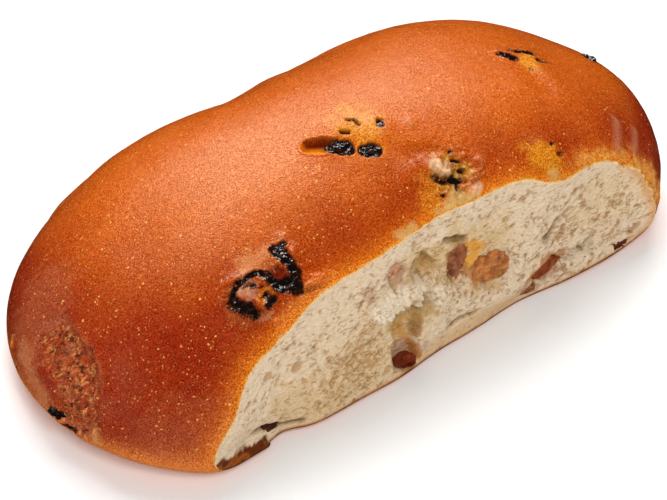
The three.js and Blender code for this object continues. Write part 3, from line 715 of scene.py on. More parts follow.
# Strength, size and seed of the noises that shape the colours.
TINT_OUTLINE, BAKE_PATCHES = [(0.35, 1.6, 41), (0.25, 0.6, 42)], [(0.12, 22.0, 21), (0.12, 8.0, 23)]
RIM_WAVER, EVEN_PATCHES = [(0.4, 4.0, 22), (0.3, 1.3, 24)], [(0.1, 5.0, 25)]
CRUMBLE, SCAR_PITS = [(1.0, 1.0, 43), (0.6, 0.5, 44)], [(1.0, 0.9, 29), (0.7, 0.5, 30)]
FIBRE_PULL, FIBRE_WAVER = np.array([1.0, 1.0, 0.3]), [(0.4, 2.5, 26)]
FIBRE_WIDTH, FIBRE_SHARPNESS = 0.65, 14
CRUST_TINTS = [
    # Painted sheen: a mauve haze on the left end and low on the front, as if the crust reflected the pale
    # table.
    ([(-66.0, 9.0, 24.0), (-71.5, 8.7, 18.0)], 9.0, MAUVE_CRUST_AND_SHEEN, 0.35),
    ([(-61.4, -28.0, 14.1), (-55.0, -31.0, 15.0)], 8.0, MAUVE_CRUST_AND_SHEEN, 0.25),
    ([(-73.4, 6.0, 14.0), (-74.6, 2.5, 12.0), (-74.8, -3.0, 10.0)], 3.6, PINK, 0.6),
    ([(-66.1, 0.3, 24.5), (-66.3, -6.0, 24.1), (-66.8, -12.1, 22.5), (-68.9, -15.0, 19.0)], 1.1, PINK, 0.15),
    # Painted shade in the dent at the scar's edge.
    ([(-66.9, -8.4, 23.3), (-67.7, -9.4, 22.2)], 0.9, SCAR_PIT_AND_SHADE, 0.9),
    ([(-72.2, -15.6, 11.5), (-72.6, -17.0, 8.0)], 1.6, TAN, 0.6),
    ([(-73.2, 13.6, 12.6), (-73.4, 12.4, 11.6)], 1.2, GOLD_CRUST, 1.0),
    ([(-35.2, -18.0, 37.2), (-32.5, -19.0, 37.4)], 2.6, PINK, 0.8),
    ([(-31.4, -22.1, 36.0), (-30.6, -23.6, 35.2)], 2.6, DEEP_RED_AND_SHADE, 0.9),
    ([(-32.6, -20.4, 36.6), (-31.0, -20.6, 37.0)], 1.5, RUST_CRUST, 0.8),
    # Partly pale pink film and partly a painted highlight on the lower shoulder raisin.
    ([(-38.0, -21.6, 34.5)], 3.0, PALE_PINK_AND_HIGHLIGHT, 0.45),
    ([(-35.1, -24.6, 33.3)], 2.2, ORANGE, 0.9),
    ([(-37.0, -26.4, 31.4)], 1.8, RUST_CRUST, 0.8),
    ([(-39.4, -26.5, 30.6), (-37.8, -27.3, 30.4), (-35.5, -27.2, 31.2)], 0.6, PALE_PINK_AND_HIGHLIGHT, 0.2),
    ([(-27.3, -18.2, 38.9)], 1.3, MAUVE_CRUST_AND_SHEEN, 0.7),
    ([(-28.0, -26.9, 33.0), (-24.0, -27.4, 33.3)], 2.4, GLOW_CRUST, 0.7),
    # Painted shade in the crease to the right of the shoulder raisins, and a painted highlight on the ridge
    # above it.
    ([(-29.2, -27.2, 32.6), (-27.2, -27.7, 32.5), (-25.6, -27.9, 32.6)], 0.7, DEEP_RED_AND_SHADE, 0.9),
    ([(-28.4, -26.6, 33.3), (-25.6, -26.9, 33.6), (-23.6, -27.4, 33.4)], 0.5, PALE_PINK_AND_HIGHLIGHT, 0.12),
    ([(-43.0, -22.8, 32.2), (-42.2, -24.6, 31.3), (-40.9, -26.6, 30.2)], 1.1, RUST_CRUST, 0.6),
    ([(-42.2, -20.8, 33.6), (-41.1, -20.0, 34.5)], 0.8, RUST_CRUST, 0.7),
    ([(-50.5, -34.0, 8.6), (-47.0, -33.6, 13.0)], 5.0, WARM_GLOW, 0.5),
    ([(-34.0, -29.2, 29.4), (-29.0, -28.8, 31.2), (-23.0, -28.4, 32.6)], 2.8, WARM_GLOW, 0.4),
    ([(0.5, -6.0, 45.4)], 7.0, GOLD_CRUST, 0.8),
    ([(0.5, -3.0, 45.7), (3.0, -5.0, 45.4)], 2.2, PALE_PINK_AND_HIGHLIGHT, 0.12),
    # Painted highlight on the small blister.
    ([(10.6, -9.8, 44.0)], 1.0, PALE_PINK_AND_HIGHLIGHT, 0.2),
    ([(12.0, -22.4, 38.3)], 5.2, OLIVE, 0.85),
    ([(5.2, -25.6, 36.4), (6.8, -22.4, 38.6)], 3.2, GOLD_CRUST, 0.6),
    ([(9.8, -19.6, 40.0), (10.9, -21.2, 39.0)], 1.7, CAP_WHITE, 0.9),
    # Painted shade in the crevice under the burst raisin's cap.
    ([(8.2, -21.6, 38.9), (9.5, -22.8, 38.0), (11.4, -23.1, 37.7)], 1.0, SCAR_PIT_AND_SHADE, 1.0),
    ([(6.8, -27.4, 34.6), (9.5, -26.4, 35.5), (13.0, -27.4, 34.4)], 2.6, DULL_CREAM, 0.9),
    ([(19.2, -22.2, 37.8)], 1.3, PINK, 0.3),
    ([(16.3, -23.6, 37.0)], 1.3, PINK, 0.45),
    ([(14.9, -26.0, 35.4)], 1.9, PALE_PINK_AND_HIGHLIGHT, 0.7),
    ([(-4.8, -27.9, 34.2), (-1.6, -27.6, 34.5)], 1.8, DULL_CREAM, 0.7),
    ([(32.2, -24.2, 33.9), (33.8, -26.0, 32.4)], 3.8, GOLD_CRUST, 0.85),
    ([(33.0, -28.6, 30.6)], 1.8, DULL_CREAM, 0.6),
    ([(38.6, -27.0, 30.4)], 0.9, PALE_PINK_AND_HIGHLIGHT, 0.5),
    ([(47.6, -2.6, 36.0)], 3.2, GOLD_CRUST, 0.9),
    ([(-47.0, 33.0, 19.0), (-40.0, 35.0, 19.0)], 6.0, GOLD_CRUST, 0.7),
    ([(3.0, 38.0, 22.4), (7.0, 38.4, 19.0)], 5.6, GOLD_CRUST, 0.7),
    ([(41.0, 33.0, 21.0), (45.0, 33.4, 16.0)], 6.0, GOLD_CRUST, 0.7),
    ([(-42.4, 33.6, 20.6)], 2.6, PINK, 0.6),
    ([(7.4, 37.6, 21.4)], 2.2, PALE_PINK_AND_HIGHLIGHT, 0.4),
    ([(40.0, 33.0, 17.6)], 2.4, PINK, 0.5),
    # Painted sheen on the ridges of the folds at the right end.
    ([(57.8, -19.4, 26.7), (52.9, -25.6, 25.3)], 0.7, PALE_PINK_AND_HIGHLIGHT, 0.2),
    ([(61.9, -20.8, 22.7), (57.7, -25.9, 21.6)], 0.7, PALE_PINK_AND_HIGHLIGHT, 0.2),
    ([(64.1, -23.5, 17.9), (61.3, -27.1, 16.3)], 0.7, PALE_PINK_AND_HIGHLIGHT, 0.2),
    (RAGGED_EDGE, 4.0, PALE_TAN, 0.85),
]

x, z = bun_points[:, 0], bun_points[:, 2]
form_points, form_outward = crust_at(bun_points)
opening, scar, hollow_shade, film, hollow = crust_relief(form_points)[1:]
# Bake and painted shade by the crust's facing, darker at the ends, with random patches of bake.
lit = form_outward @ LIT_SIDE - END_BAKE_AND_SHADE * form_outward[:, 0] ** 2
bake_and_shade = 1 - smooth(lit, *LIT_RANGE) + layered_noise(bun_points, BAKE_PATCHES)
crust_colour = tinted(np.tile(PALE_CRUST, (len(bun_points), 1)), [
    (smooth(bake_and_shade, 0.0, 1.0), DARK_CRUST),
    (0.1 + layered_noise(bun_points, EVEN_PATCHES), CRUST),
    # Partly a paler bake by the tray and partly painted bounce light on the shaded foot.
    (1 - smooth(z, *FOOT_RISE), FOOT_CRUST_AND_BOUNCE),
    (0.7 * fade(from_edge, GLOW_WIDTH) * smooth(z, *GLOW_RISE), GLOW_CRUST),
    (0.5 * fade(from_edge, RIM_GLOW_WIDTH) * smooth(z, *GLOW_RISE), RIM_GLOW),
])
ragged = layered_noise(form_points, TINT_OUTLINE)
for path, reach, tint, strength in CRUST_TINTS:
    share = strength * (1 - smooth(path_away(form_points, path) / reach + ragged, *TINT_EDGE))
    crust_colour = tinted(crust_colour, [(share, tint)])
rim_width = RIM_WIDTH + sum(wider * fade(x - middle, reach) for middle, reach, wider in WIDER_RIM)
rim_width = rim_width * (1 + layered_noise(bun_points, RIM_WAVER))
rim = fade(from_edge, rim_width) * smooth(z, *RIM_RISE)
crumbs = layered_noise(form_points, CRUMBLE)
ragged_edge = fade(path_away(form_points, RAGGED_EDGE), RAGGED_REACH)
ruin = fade(away(form_points, RUIN_MIDDLE), RUIN_REACH)
pulled = form_points * FIBRE_PULL + layered_noise(form_points, FIBRE_WAVER)[:, None]
fibres = ridged_noise(pulled, FIBRE_WIDTH, FIBRE_SHARPNESS, seed=27)
fibres = fibres * smooth(soft_noise(form_points, 2.4, seed=28), -0.5, 0.2)
crust_colour = tinted(crust_colour, [
    (smooth(rim, 0.1, 0.8), GOLD_CRUST),
    (smooth(rim, 0.7, 1.0), CREAM_CRUST),
    (0.7 * ragged_edge * smooth(crumbs, 0.1, 0.6), ORANGE),
    (0.5 * ragged_edge * smooth(-crumbs, 0.3, 0.7), DULL_CREAM),
    (0.8 * ruin * smooth(crumbs, 0.2, 0.6), RUIN_BROWN),
    (0.6 * ruin * smooth(-crumbs, 0.3, 0.7), DULL_CREAM),
    (scar, SCAR_RED),
    (0.4 * scar * smooth(soft_noise(form_points, 3.5, seed=31), 0.0, 0.5), MAUVE_CRUST_AND_SHEEN),
    (0.95 * scar * smooth(layered_noise(form_points, SCAR_PITS), 0.15, 0.8), SCAR_PIT_AND_SHADE),
    (0.95 * scar * fibres, SCAR_FIBRE),
    (hollow, HOLLOW_FLOOR),
    # Painted shade: dark red on the hollow's upper wall, near black deep in it beside the raisin.
    (hollow_shade, DEEP_RED_AND_SHADE),
    (hollow * fade(away(form_points, HOLLOW_SHADOW), HOLLOW_SHADOW_REACH), SCAR_PIT_AND_SHADE),
    (smooth(opening, 0.05, 0.6), SCAR_PIT_AND_SHADE),
])
add_colour(torn, "crust_colour", crust_colour)

# Pale crust has little of the bake's grain. The film and the hollow are wet, and other pale crust is dry.
PALE_BLUE, PALE_CALM, OPEN_FROM = (0.02, 0.08), 0.7, 0.5
plain = np.maximum(smooth(crust_colour[:, 2], *PALE_BLUE), np.maximum(hollow, opening))
add_mask(torn, "grain_share", 1 - PALE_CALM * plain)
add_mask(torn, "wet", np.maximum(film, hollow))
add_mask(torn, "dry", plain * (1 - np.maximum(film, np.maximum(hollow, opening))))

# Faces of the crust that lie in its openings are the raisins' skin.
opened = opening > OPEN_FROM
for polygon in torn.polygons:
    if polygon.material_index == ON_CRUST and all(opened[index] for index in polygon.vertices):
        polygon.material_index = ON_SKIN

# Crumb colours: white where it is dry and fluffy, tan inside the pores as painted shade, golden where a thin
# skin stretched over a raisin, and stained by the raisins' juice. Painted shade also darkens the pockets,
# the slits and some edges. The rows of CRUMB_TINTS are like those of CRUST_TINTS.
CRUMB_WHITE, PORE_SHADOW_TAN, POCKET_SHADE = (0.74, 0.58, 0.405), (0.40, 0.19, 0.055), (0.48, 0.32, 0.13)
FLAKE, SKIN, GOLDEN_SKIN = (0.84, 0.72, 0.56), (0.74, 0.51, 0.29), (0.58, 0.31, 0.075)
MAUVE, RUST, SLIT_SHADE = (0.50, 0.29, 0.18), (0.52, 0.19, 0.04), (0.17, 0.09, 0.025)
FOOT, LIP_BROWN, SOLE_DARK_AND_SHADOW = (0.55, 0.22, 0.05), (0.32, 0.08, 0.010), (0.07, 0.02, 0.006)
OPEN_TAN, GREY_SPECK, SHADED_EDGE_BROWN = (0.66, 0.45, 0.22), (0.36, 0.30, 0.20), (0.30, 0.13, 0.03)
LIP_DARK, FILM_GOLD, END_TAN = (0.13, 0.024, 0.004), (0.80, 0.38, 0.06), (0.66, 0.30, 0.08)
MOIST_TINTS = (GOLDEN_SKIN, FILM_GOLD, RUST)
STAIN_EDGE, FLAKE_COVER = (0.55, 1.15), 0.7
# Shade painted along the slits: its raggedness, its strength and its width as a share of the slit's reach.
SLIT_RAGGED, SLIT_SHADE_STRENGTH, SLIT_WIDTH = 0.3, 0.9, 0.9
END_EDGE, END_EDGE_START = 1.7, (49.0, 58.0)
LIP_STREAKS, STREAK_PULL = [(1.0, 1.2, 45)], np.array([0.5, 1, 1])
CRUMB_TINTS = [
    ([(8.0, 0, 24.0), (15.0, 0, 20.0)], 8.0, OPEN_TAN, 0.75),
    ([(47.0, 0, 16.5)], 9.0, OPEN_TAN, 0.35),
    ([(-35.0, 0, 9.0), (-28.0, 0, 6.0)], 7.0, OPEN_TAN, 0.6),
    ([(-5.0, 0, 12.0), (-2.0, 0, 25.0)], 7.0, OPEN_TAN, 0.5),
    ([(38.0, 0, 7.4), (43.0, 0, 7.6)], 2.0, GREY_SPECK, 0.4),
    # Painted shade in the upper pocket.
    ([(-0.6, 0, 24.6)], 4.2, POCKET_SHADE, 0.8),
    ([(1.2, 0, 26.0), (1.4, 0, 22.5)], 1.4, GOLDEN_SKIN, 0.5),
    # Painted shade in the deep pocket.
    ([(-6.2, 0, 15.4), (-2.0, 0, 15.0)], 4.4, POCKET_SHADE, 0.9),
    ([(-6.6, 0, 11.4), (-5.4, 0, 8.6)], 2.6, GOLDEN_SKIN, 0.9),
    # Painted shade along the pocket's right wall.
    ([(-2.6, 0, 12.6), (-3.4, 0, 9.0)], 1.1, SHADED_EDGE_BROWN, 0.6),
    ([(-6.6, 0, 6.2), (-5.0, 0, 5.6)], 1.8, MAUVE, 0.9),
    ([(-3.8, 0, 6.0), (-3.2, 0, 3.4)], 1.3, RUST, 0.9),
    ([(-1.8, 0, 5.4)], 1.5, MAUVE, 0.7),
    ([(-8.2, 0, 28.4), (-6.6, 0, 26.4)], 2.2, MAUVE, 0.9),
    ([(-4.0, 0, 25.4)], 1.2, MAUVE, 0.6),
    ([(-15.5, 0, 27.4), (-14.4, 0, 24.8)], 1.4, MAUVE, 0.6),
    ([(6.6, 0, 24.6), (9.6, 0, 24.4)], 2.0, RUST, 0.7),
    ([(10.6, 0, 20.6), (11.8, 0, 16.6), (13.6, 0, 13.4)], 1.6, RUST, 0.8),
    ([(12.0, 0, 23.2), (14.4, 0, 20.8), (13.0, 0, 18.8)], 2.3, FILM_GOLD, 1.0),
    # Painted shade down the torn raisin's left side.
    ([(6.2, 0, 25.2), (6.6, 0, 20.0), (7.6, 0, 16.6)], 0.9, SHADED_EDGE_BROWN, 0.8),
    # Painted shade in the recess above the torn raisin.
    ([(7.0, 0, 27.6), (9.6, 0, 26.6)], 1.6, POCKET_SHADE, 0.9),
    ([(14.0, 0, 12.0), (18.0, 0, 9.8)], 1.2, GOLDEN_SKIN, 0.5),
    ([(27.6, 0, 8.0), (28.6, 0, 5.6)], 1.4, GOLDEN_SKIN, 0.9),
    ([(30.5, 0, 9.6), (35.6, 0, 8.4)], 1.6, RUST, 0.8),
    ([(31.6, 0, 4.0), (34.6, 0, 4.8)], 1.5, MAUVE, 0.9),
    ([(24.0, 0, 5.6), (28.6, 0, 3.8)], 1.2, MAUVE, 0.6),
]

flat_points = bun_points * FLATTEN
ragged = layered_noise(flat_points, TINT_OUTLINE)
flakes = flaking(flat_points)
crumb_colour = tinted(np.tile(CRUMB_WHITE, (len(bun_points), 1)), [
    (0.65 * pore_shadow, PORE_SHADOW_TAN),
    (0.65 * fade(away(flat_points, OPEN_CRUMB), OPEN_REACH), OPEN_TAN),
    (skin_band(x, z), SKIN),
    (0.9 * flakes * (1 - 0.6 * pore_shadow), FLAKE),
])
moist = np.zeros(len(bun_points))
for path, reach, tint, strength in CRUMB_TINTS:
    share = strength * (1 - smooth(path_away(flat_points, path) / reach + ragged, *STAIN_EDGE))
    share = share * (1 - FLAKE_COVER * flakes)
    crumb_colour = tinted(crumb_colour, [(share, tint)])
    if tint in MOIST_TINTS:
        moist = np.maximum(moist, share)
# Painted shade along the slits.
for path, reach, _ in SLITS:
    from_slit = path_away(flat_points, path) + SLIT_RAGGED * ragged
    crumb_colour = tinted(crumb_colour, [(SLIT_SHADE_STRENGTH * fade(from_slit, SLIT_WIDTH * reach), SLIT_SHADE)])
lip = lip_share(flat_points, from_edge)
lip_streaks = layered_noise(flat_points * STREAK_PULL, LIP_STREAKS)
crumb_colour = tinted(crumb_colour, [
    (smooth(fade(from_edge, 0.9) * (1 - smooth(z, 3.0, 5.5)), 0.3, 0.9), FOOT),
    (0.8 * fade(from_edge + ragged, END_EDGE) * smooth(x, *END_EDGE_START), END_TAN),
    (smooth(lip, 0.15, 0.4), LIP_BROWN),
    (lip * smooth(lip_streaks, -0.2, 0.4), LIP_DARK),
    # Painted shadow where the tongue meets the crumb above it; along the foot the dark line is partly the
    # sole's dark bake and partly painted contact shadow.
    (0.9 * fade(lip - 0.35, 0.2), SOLE_DARK_AND_SHADOW),
    (smooth(fade(from_edge, 0.4) * (1 - smooth(z, 3.0, 5.0)), 0.4, 0.9), SOLE_DARK_AND_SHADOW),
])

# The moist mask makes the crumb shine, and the openness mask gives it more fine pores.
CLOSED_EDGE, CLOSED_REACH, CALM_PORES = 0.25, 5.0, 0.8
moist = np.maximum(moist, lip)
calm = np.maximum(skin_band(x, z), np.maximum(flakes, moist))
openness = crumb_openness(flat_points) - CLOSED_EDGE * fade(from_edge, CLOSED_REACH)
add_mask(torn, "moist", moist)
add_mask(torn, "openness", openness * (1 - CALM_PORES * calm))
add_colour(torn, "crumb_colour", crumb_colour)


def add_node(tree, kind, inputs=None, **settings):
    """A shader node; an input is linked if it is given a socket and set if it is given a value."""
    node = tree.nodes.new(kind)
    for name, value in settings.items():
        setattr(node, name, value)
    for name, value in (inputs or {}).items():
        if isinstance(value, bpy.types.NodeSocket):
            tree.links.new(value, node.inputs[name])
        else:
            node.inputs[name].default_value = value
    return node


def mask_of(tree, name):
    return add_node(tree, "ShaderNodeAttribute", attribute_name=name).outputs["Fac"]


def mixed(tree, factor, first, second, blend="MIX"):
    """The colour between two colours; each is a socket or a linear red, green and blue."""
    first, second = [(*c, 1) if isinstance(c, tuple) else c for c in (first, second)]
    inputs = {0: factor, 6: first, 7: second}
    return add_node(tree, "ShaderNodeMix", inputs, data_type="RGBA", blend_type=blend).outputs[2]


def shaded(tree, colour, shade):
    return mixed(tree, 1.0, colour, shade, "MULTIPLY")


def ranged(tree, value, low, high, start=0.0, end=1.0):
    """A value brought from one range to another, softly."""
    inputs = {"Value": value, "From Min": low, "From Max": high, "To Min": start, "To Max": end}
    return add_node(tree, "ShaderNodeMapRange", inputs, interpolation_type="SMOOTHSTEP").outputs["Result"]


def worked(tree, operation, first, second):
    return add_node(tree, "ShaderNodeMath", {0: first, 1: second}, operation=operation).outputs[0]


def noise_node(tree, place, size, detail=2.0, distortion=0.0):
    """A noise that changes over about a size in millimetres."""
    inputs = {"Vector": place, "Scale": 1 / MM / size, "Detail": detail, "Distortion": distortion}
    return add_node(tree, "ShaderNodeTexNoise", inputs)


def add_bump(tree, shader, height, distance, strength=1.0):
    """Bumps on a shader's surface, as high as a distance in millimetres."""
    inputs = {"Height": height, "Distance": distance * MM, "Strength": strength}
    node = add_node(tree, "ShaderNodeBump", inputs)
    tree.links.new(node.outputs["Normal"], shader.inputs["Normal"])


def set_inputs(node, values):
    for name, value in values.items():
        node.inputs[name].default_value = value


grain_group = bpy.data.node_groups.new("fine_grain", "ShaderNodeTree")
grain_group.interface.new_socket("Size in mm", in_out="INPUT", socket_type="NodeSocketFloat")
grain_group.interface.new_socket("Height", in_out="OUTPUT", socket_type="NodeSocketFloat")
grain_in = add_node(grain_group, "NodeGroupInput")
grain_out = add_node(grain_group, "NodeGroupOutput")
grain_noise = add_node(grain_group, "ShaderNodeTexNoise", {
    "Vector": add_node(grain_group, "ShaderNodeTexCoord").outputs["Object"],
    "Scale": worked(grain_group, "DIVIDE", 1 / MM, grain_in.outputs["Size in mm"]),
    "Detail": 1.0,
})
grain_group.links.new(grain_noise.outputs["Fac"], grain_out.inputs["Height"])


def grain(tree, size):
    node = add_node(tree, "ShaderNodeGroup", node_tree=grain_group)
    node.inputs["Size in mm"].default_value = size
    return node.outputs["Height"]


# The crust's finish: a leathery grain, whose dark and light tones are partly painted shade in its valleys
# and painted light on its bumps; pale freckles with painted glints among them; and the gloss of the egg
# wash. Each kind of freckle has its cell, the share of cells that have one, and the largest radius.
GRAIN_DARK_AND_SHADE, GRAIN_LIGHT_AND_LIT, FRECKLE_AND_GLINT = (0.67, 0.46, 0.35), (1.34, 1.6, 1.7), (0.95, 0.42, 0.10)
LEATHER_FINE, LEATHER_COARSE, COARSE_SHARE = 0.3, 0.8, 0.25
LEATHER_TONES, LEATHER_SHINE, LEATHER_HEIGHT = (0.43, 0.83), (0.48, 0.78, 0.0, 0.55), 0.55
MIDDLING_FRECKLES, SPARSE_FRECKLES, SMALL_FRECKLES = (0.9, 0.7, 0.26), (1.7, 0.3, 0.28), (0.55, 0.5, 0.17)
FRECKLE_TONES, FRECKLE_HEIGHT = (0.3, 1.0), 0.6
FRECKLE_PATCH, FRECKLE_PATCHES = 11.0, (0.4, 0.6, 0.5, 1.0)
GLINT_SPECK, GLINT_SPECK_TONES = 0.36, (0.66, 0.84, 0.0, 0.8)
WOBBLE_SIZE, WOBBLE = 0.35, 0.5
CRUST_BUMP = 0.24
GLOSS_PATCH, GLOSS_RANGE, WET_GLOSS, DRY_DULLNESS = 7.0, (0.35, 0.65, 0.21, 0.29), 0.13, 0.3


def freckles_of(tree, place, cell, share, largest):
    """1 on small round freckles, at most one in each cell in mm, 0 elsewhere."""
    cells = add_node(tree, "ShaderNodeTexVoronoi", {"Vector": place, "Scale": 1 / MM / cell})
    draw = add_node(tree, "ShaderNodeSeparateColor", {"Color": cells.outputs["Color"]})
    size = ranged(tree, draw.outputs["Red"], 1.0 - share, 1.0, 0.0, largest / cell)
    strength = ranged(tree, draw.outputs["Green"], *FRECKLE_TONES)
    return worked(tree, "MULTIPLY", worked(tree, "LESS_THAN", cells.outputs["Distance"], size), strength)


crust_material.use_nodes = True
tree = crust_material.node_tree
crust_shader = tree.nodes["Principled BSDF"]
grain_share = mask_of(tree, "grain_share")
leather = worked(tree, "MULTIPLY", grain(tree, LEATHER_COARSE), COARSE_SHARE)
leather = worked(tree, "ADD", grain(tree, LEATHER_FINE), leather)
colour = add_node(tree, "ShaderNodeAttribute", attribute_name="crust_colour").outputs["Color"]
# Partly grain and partly painted light: darker in the valleys and lighter on the tops of the grain's bumps.
leather_tone_and_shading = mixed(tree, ranged(tree, leather, *LEATHER_TONES), GRAIN_DARK_AND_SHADE, GRAIN_LIGHT_AND_LIT)
colour = mixed(tree, grain_share, colour, shaded(tree, colour, leather_tone_and_shading))
place = add_node(tree, "ShaderNodeTexCoord").outputs["Object"]
wobble = noise_node(tree, place, WOBBLE_SIZE).outputs["Color"]
wobbled = {0: wobble, 1: (WOBBLE * MM,) * 3, 2: place}
place = add_node(tree, "ShaderNodeVectorMath", wobbled, operation="MULTIPLY_ADD").outputs["Vector"]
# Pale freckles, partly painted glints.
freckles_and_glints = freckles_of(tree, place, *MIDDLING_FRECKLES)
freckles_and_glints = worked(tree, "MAXIMUM", freckles_and_glints, freckles_of(tree, place, *SPARSE_FRECKLES))
freckles_and_glints = worked(tree, "MULTIPLY", freckles_and_glints, ranged(tree, grain(tree, FRECKLE_PATCH), *FRECKLE_PATCHES))
freckles_and_glints = worked(tree, "MAXIMUM", freckles_and_glints, freckles_of(tree, place, *SMALL_FRECKLES))
# Painted glints where a fine noise peaks.
freckles_and_glints = worked(tree, "MAXIMUM", freckles_and_glints, ranged(tree, grain(tree, GLINT_SPECK), *GLINT_SPECK_TONES))
freckles_and_glints = worked(tree, "MULTIPLY", freckles_and_glints, grain_share)
colour = mixed(tree, freckles_and_glints, colour, FRECKLE_AND_GLINT)
tree.links.new(colour, crust_shader.inputs["Base Color"])
leather_height = worked(tree, "MULTIPLY", leather, LEATHER_HEIGHT)
freckle_height = worked(tree, "MULTIPLY", freckles_and_glints, FRECKLE_HEIGHT)
add_bump(tree, crust_shader, worked(tree, "ADD", leather_height, freckle_height), CRUST_BUMP)
roughness = ranged(tree, grain(tree, GLOSS_PATCH), *GLOSS_RANGE)
roughness = worked(tree, "SUBTRACT", roughness, worked(tree, "MULTIPLY", mask_of(tree, "wet"), WET_GLOSS))
roughness = worked(tree, "ADD", roughness, worked(tree, "MULTIPLY", mask_of(tree, "dry"), DRY_DULLNESS))
tree.links.new(roughness, crust_shader.inputs["Roughness"])
coat = worked(tree, "MULTIPLY", ranged(tree, leather, *LEATHER_SHINE), grain_share)
tree.links.new(coat, crust_shader.inputs["Coat Weight"])
set_inputs(crust_shader, {
    "Coat Roughness": 0.36,
    "Coat Tint": (1.0, 0.88, 0.48, 1),
    "Specular IOR Level": 0.42,
    "Specular Tint": (1.0, 0.82, 0.44, 1),
})

# The crumb's finish: fine pulled strands that cross, fine pores between them, and a shine where it is moist.
STRAND_SHADE, STRAND_LIT, PORE_SHADE = (0.92, 0.87, 0.80), (1.06, 1.07, 1.08), (0.78, 0.61, 0.43)
STRAND_STRETCH, STRAND_WIDTH, STRAND_TONES = 0.5, 0.3, (0.42, 0.66)
CROSS_STRETCH, CROSS_WIDTH = 0.35, 0.4
FINE_PORE, FINE_PORE_DETAIL, FINE_PORE_TWIST, FINE_PORE_EDGE = 0.5, 4.0, 0.6, (0.0, 0.12)
PORE_PATCH, PATCH_LIMITS, OPEN_LIMIT = 2.4, (0.35, 0.65, 0.66, 0.53), 0.14
FINE_PORE_DEPTH, CRUMB_BUMP = 0.4, 0.25
MOIST_SHINE = (0.3, 1.0, 0.85, 0.35)


def pulled_axes(tree, turn, stretch):
    """The bun's own coordinates, turned on the torn side and drawn together along the strands."""
    place = add_node(tree, "ShaderNodeTexCoord").outputs["Object"]
    inputs = {"Vector": place, "Rotation": (0, turn, 0), "Scale": (stretch, 1.0, 1.0)}
    return add_node(tree, "ShaderNodeMapping", inputs).outputs["Vector"]


crumb_material.use_nodes = True
tree = crumb_material.node_tree
crumb_shader = tree.nodes["Principled BSDF"]
strand_axes = pulled_axes(tree, STRAND_TURN, STRAND_STRETCH)
cross_axes = pulled_axes(tree, CROSS_TURN, CROSS_STRETCH)
strands = noise_node(tree, strand_axes, STRAND_WIDTH).outputs["Fac"]
strands = worked(tree, "MAXIMUM", strands, noise_node(tree, cross_axes, CROSS_WIDTH).outputs["Fac"])
pore_noise = noise_node(tree, strand_axes, FINE_PORE, FINE_PORE_DETAIL, FINE_PORE_TWIST).outputs["Fac"]
pore_limit = worked(tree, "MULTIPLY", mask_of(tree, "openness"), OPEN_LIMIT)
pore_limit = worked(tree, "SUBTRACT", ranged(tree, grain(tree, PORE_PATCH), *PATCH_LIMITS), pore_limit)
fine_pores = ranged(tree, worked(tree, "SUBTRACT", pore_noise, pore_limit), *FINE_PORE_EDGE)
colour = add_node(tree, "ShaderNodeAttribute", attribute_name="crumb_colour").outputs["Color"]
strand_tone = mixed(tree, ranged(tree, strands, *STRAND_TONES), STRAND_SHADE, STRAND_LIT)
colour = shaded(tree, colour, strand_tone)
colour = mixed(tree, fine_pores, colour, shaded(tree, colour, PORE_SHADE))
tree.links.new(colour, crumb_shader.inputs["Base Color"])
crumb_height = worked(tree, "SUBTRACT", strands, worked(tree, "MULTIPLY", fine_pores, FINE_PORE_DEPTH))
add_bump(tree, crumb_shader, crumb_height, CRUMB_BUMP)
tree.links.new(ranged(tree, mask_of(tree, "moist"), *MOIST_SHINE), crumb_shader.inputs["Roughness"])
set_inputs(crumb_shader, {"Specular IOR Level": 0.3})

# The finish of baked raisin skin: near black, glossy and finely wrinkled.
BAKED_BLACK, BAKED_BROWN = (0.008, 0.005, 0.004), (0.05, 0.015, 0.008)
BROWN_PATCH, BROWN_TONES = 1.2, (0.5, 0.75)
SKIN_GRAIN, SKIN_BUMP = 0.6, 0.25
raisin_skin.use_nodes = True
tree = raisin_skin.node_tree
skin_shader = tree.nodes["Principled BSDF"]
colour = mixed(tree, ranged(tree, grain(tree, BROWN_PATCH), *BROWN_TONES), BAKED_BLACK, BAKED_BROWN)
tree.links.new(colour, skin_shader.inputs["Base Color"])
add_bump(tree, skin_shader, grain(tree, SKIN_GRAIN), SKIN_BUMP)
set_inputs(skin_shader, {"Roughness": 0.1, "IOR": 1.7, "Specular IOR Level": 0.8})
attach(bun, "root")
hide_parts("bun")

# Raisins in the crust
# Dried grapes that came to the top of the dough and baked black and hard, their skins in glossy wrinkles.
# Each is set in its bed in the crust; thin crust covers parts of some of them.
RAISIN_SUBDIVISIONS = 5
RAISIN_FOLDS, FOLD_DEPTH, FOLD_TWIST = 5, 0.09, 2
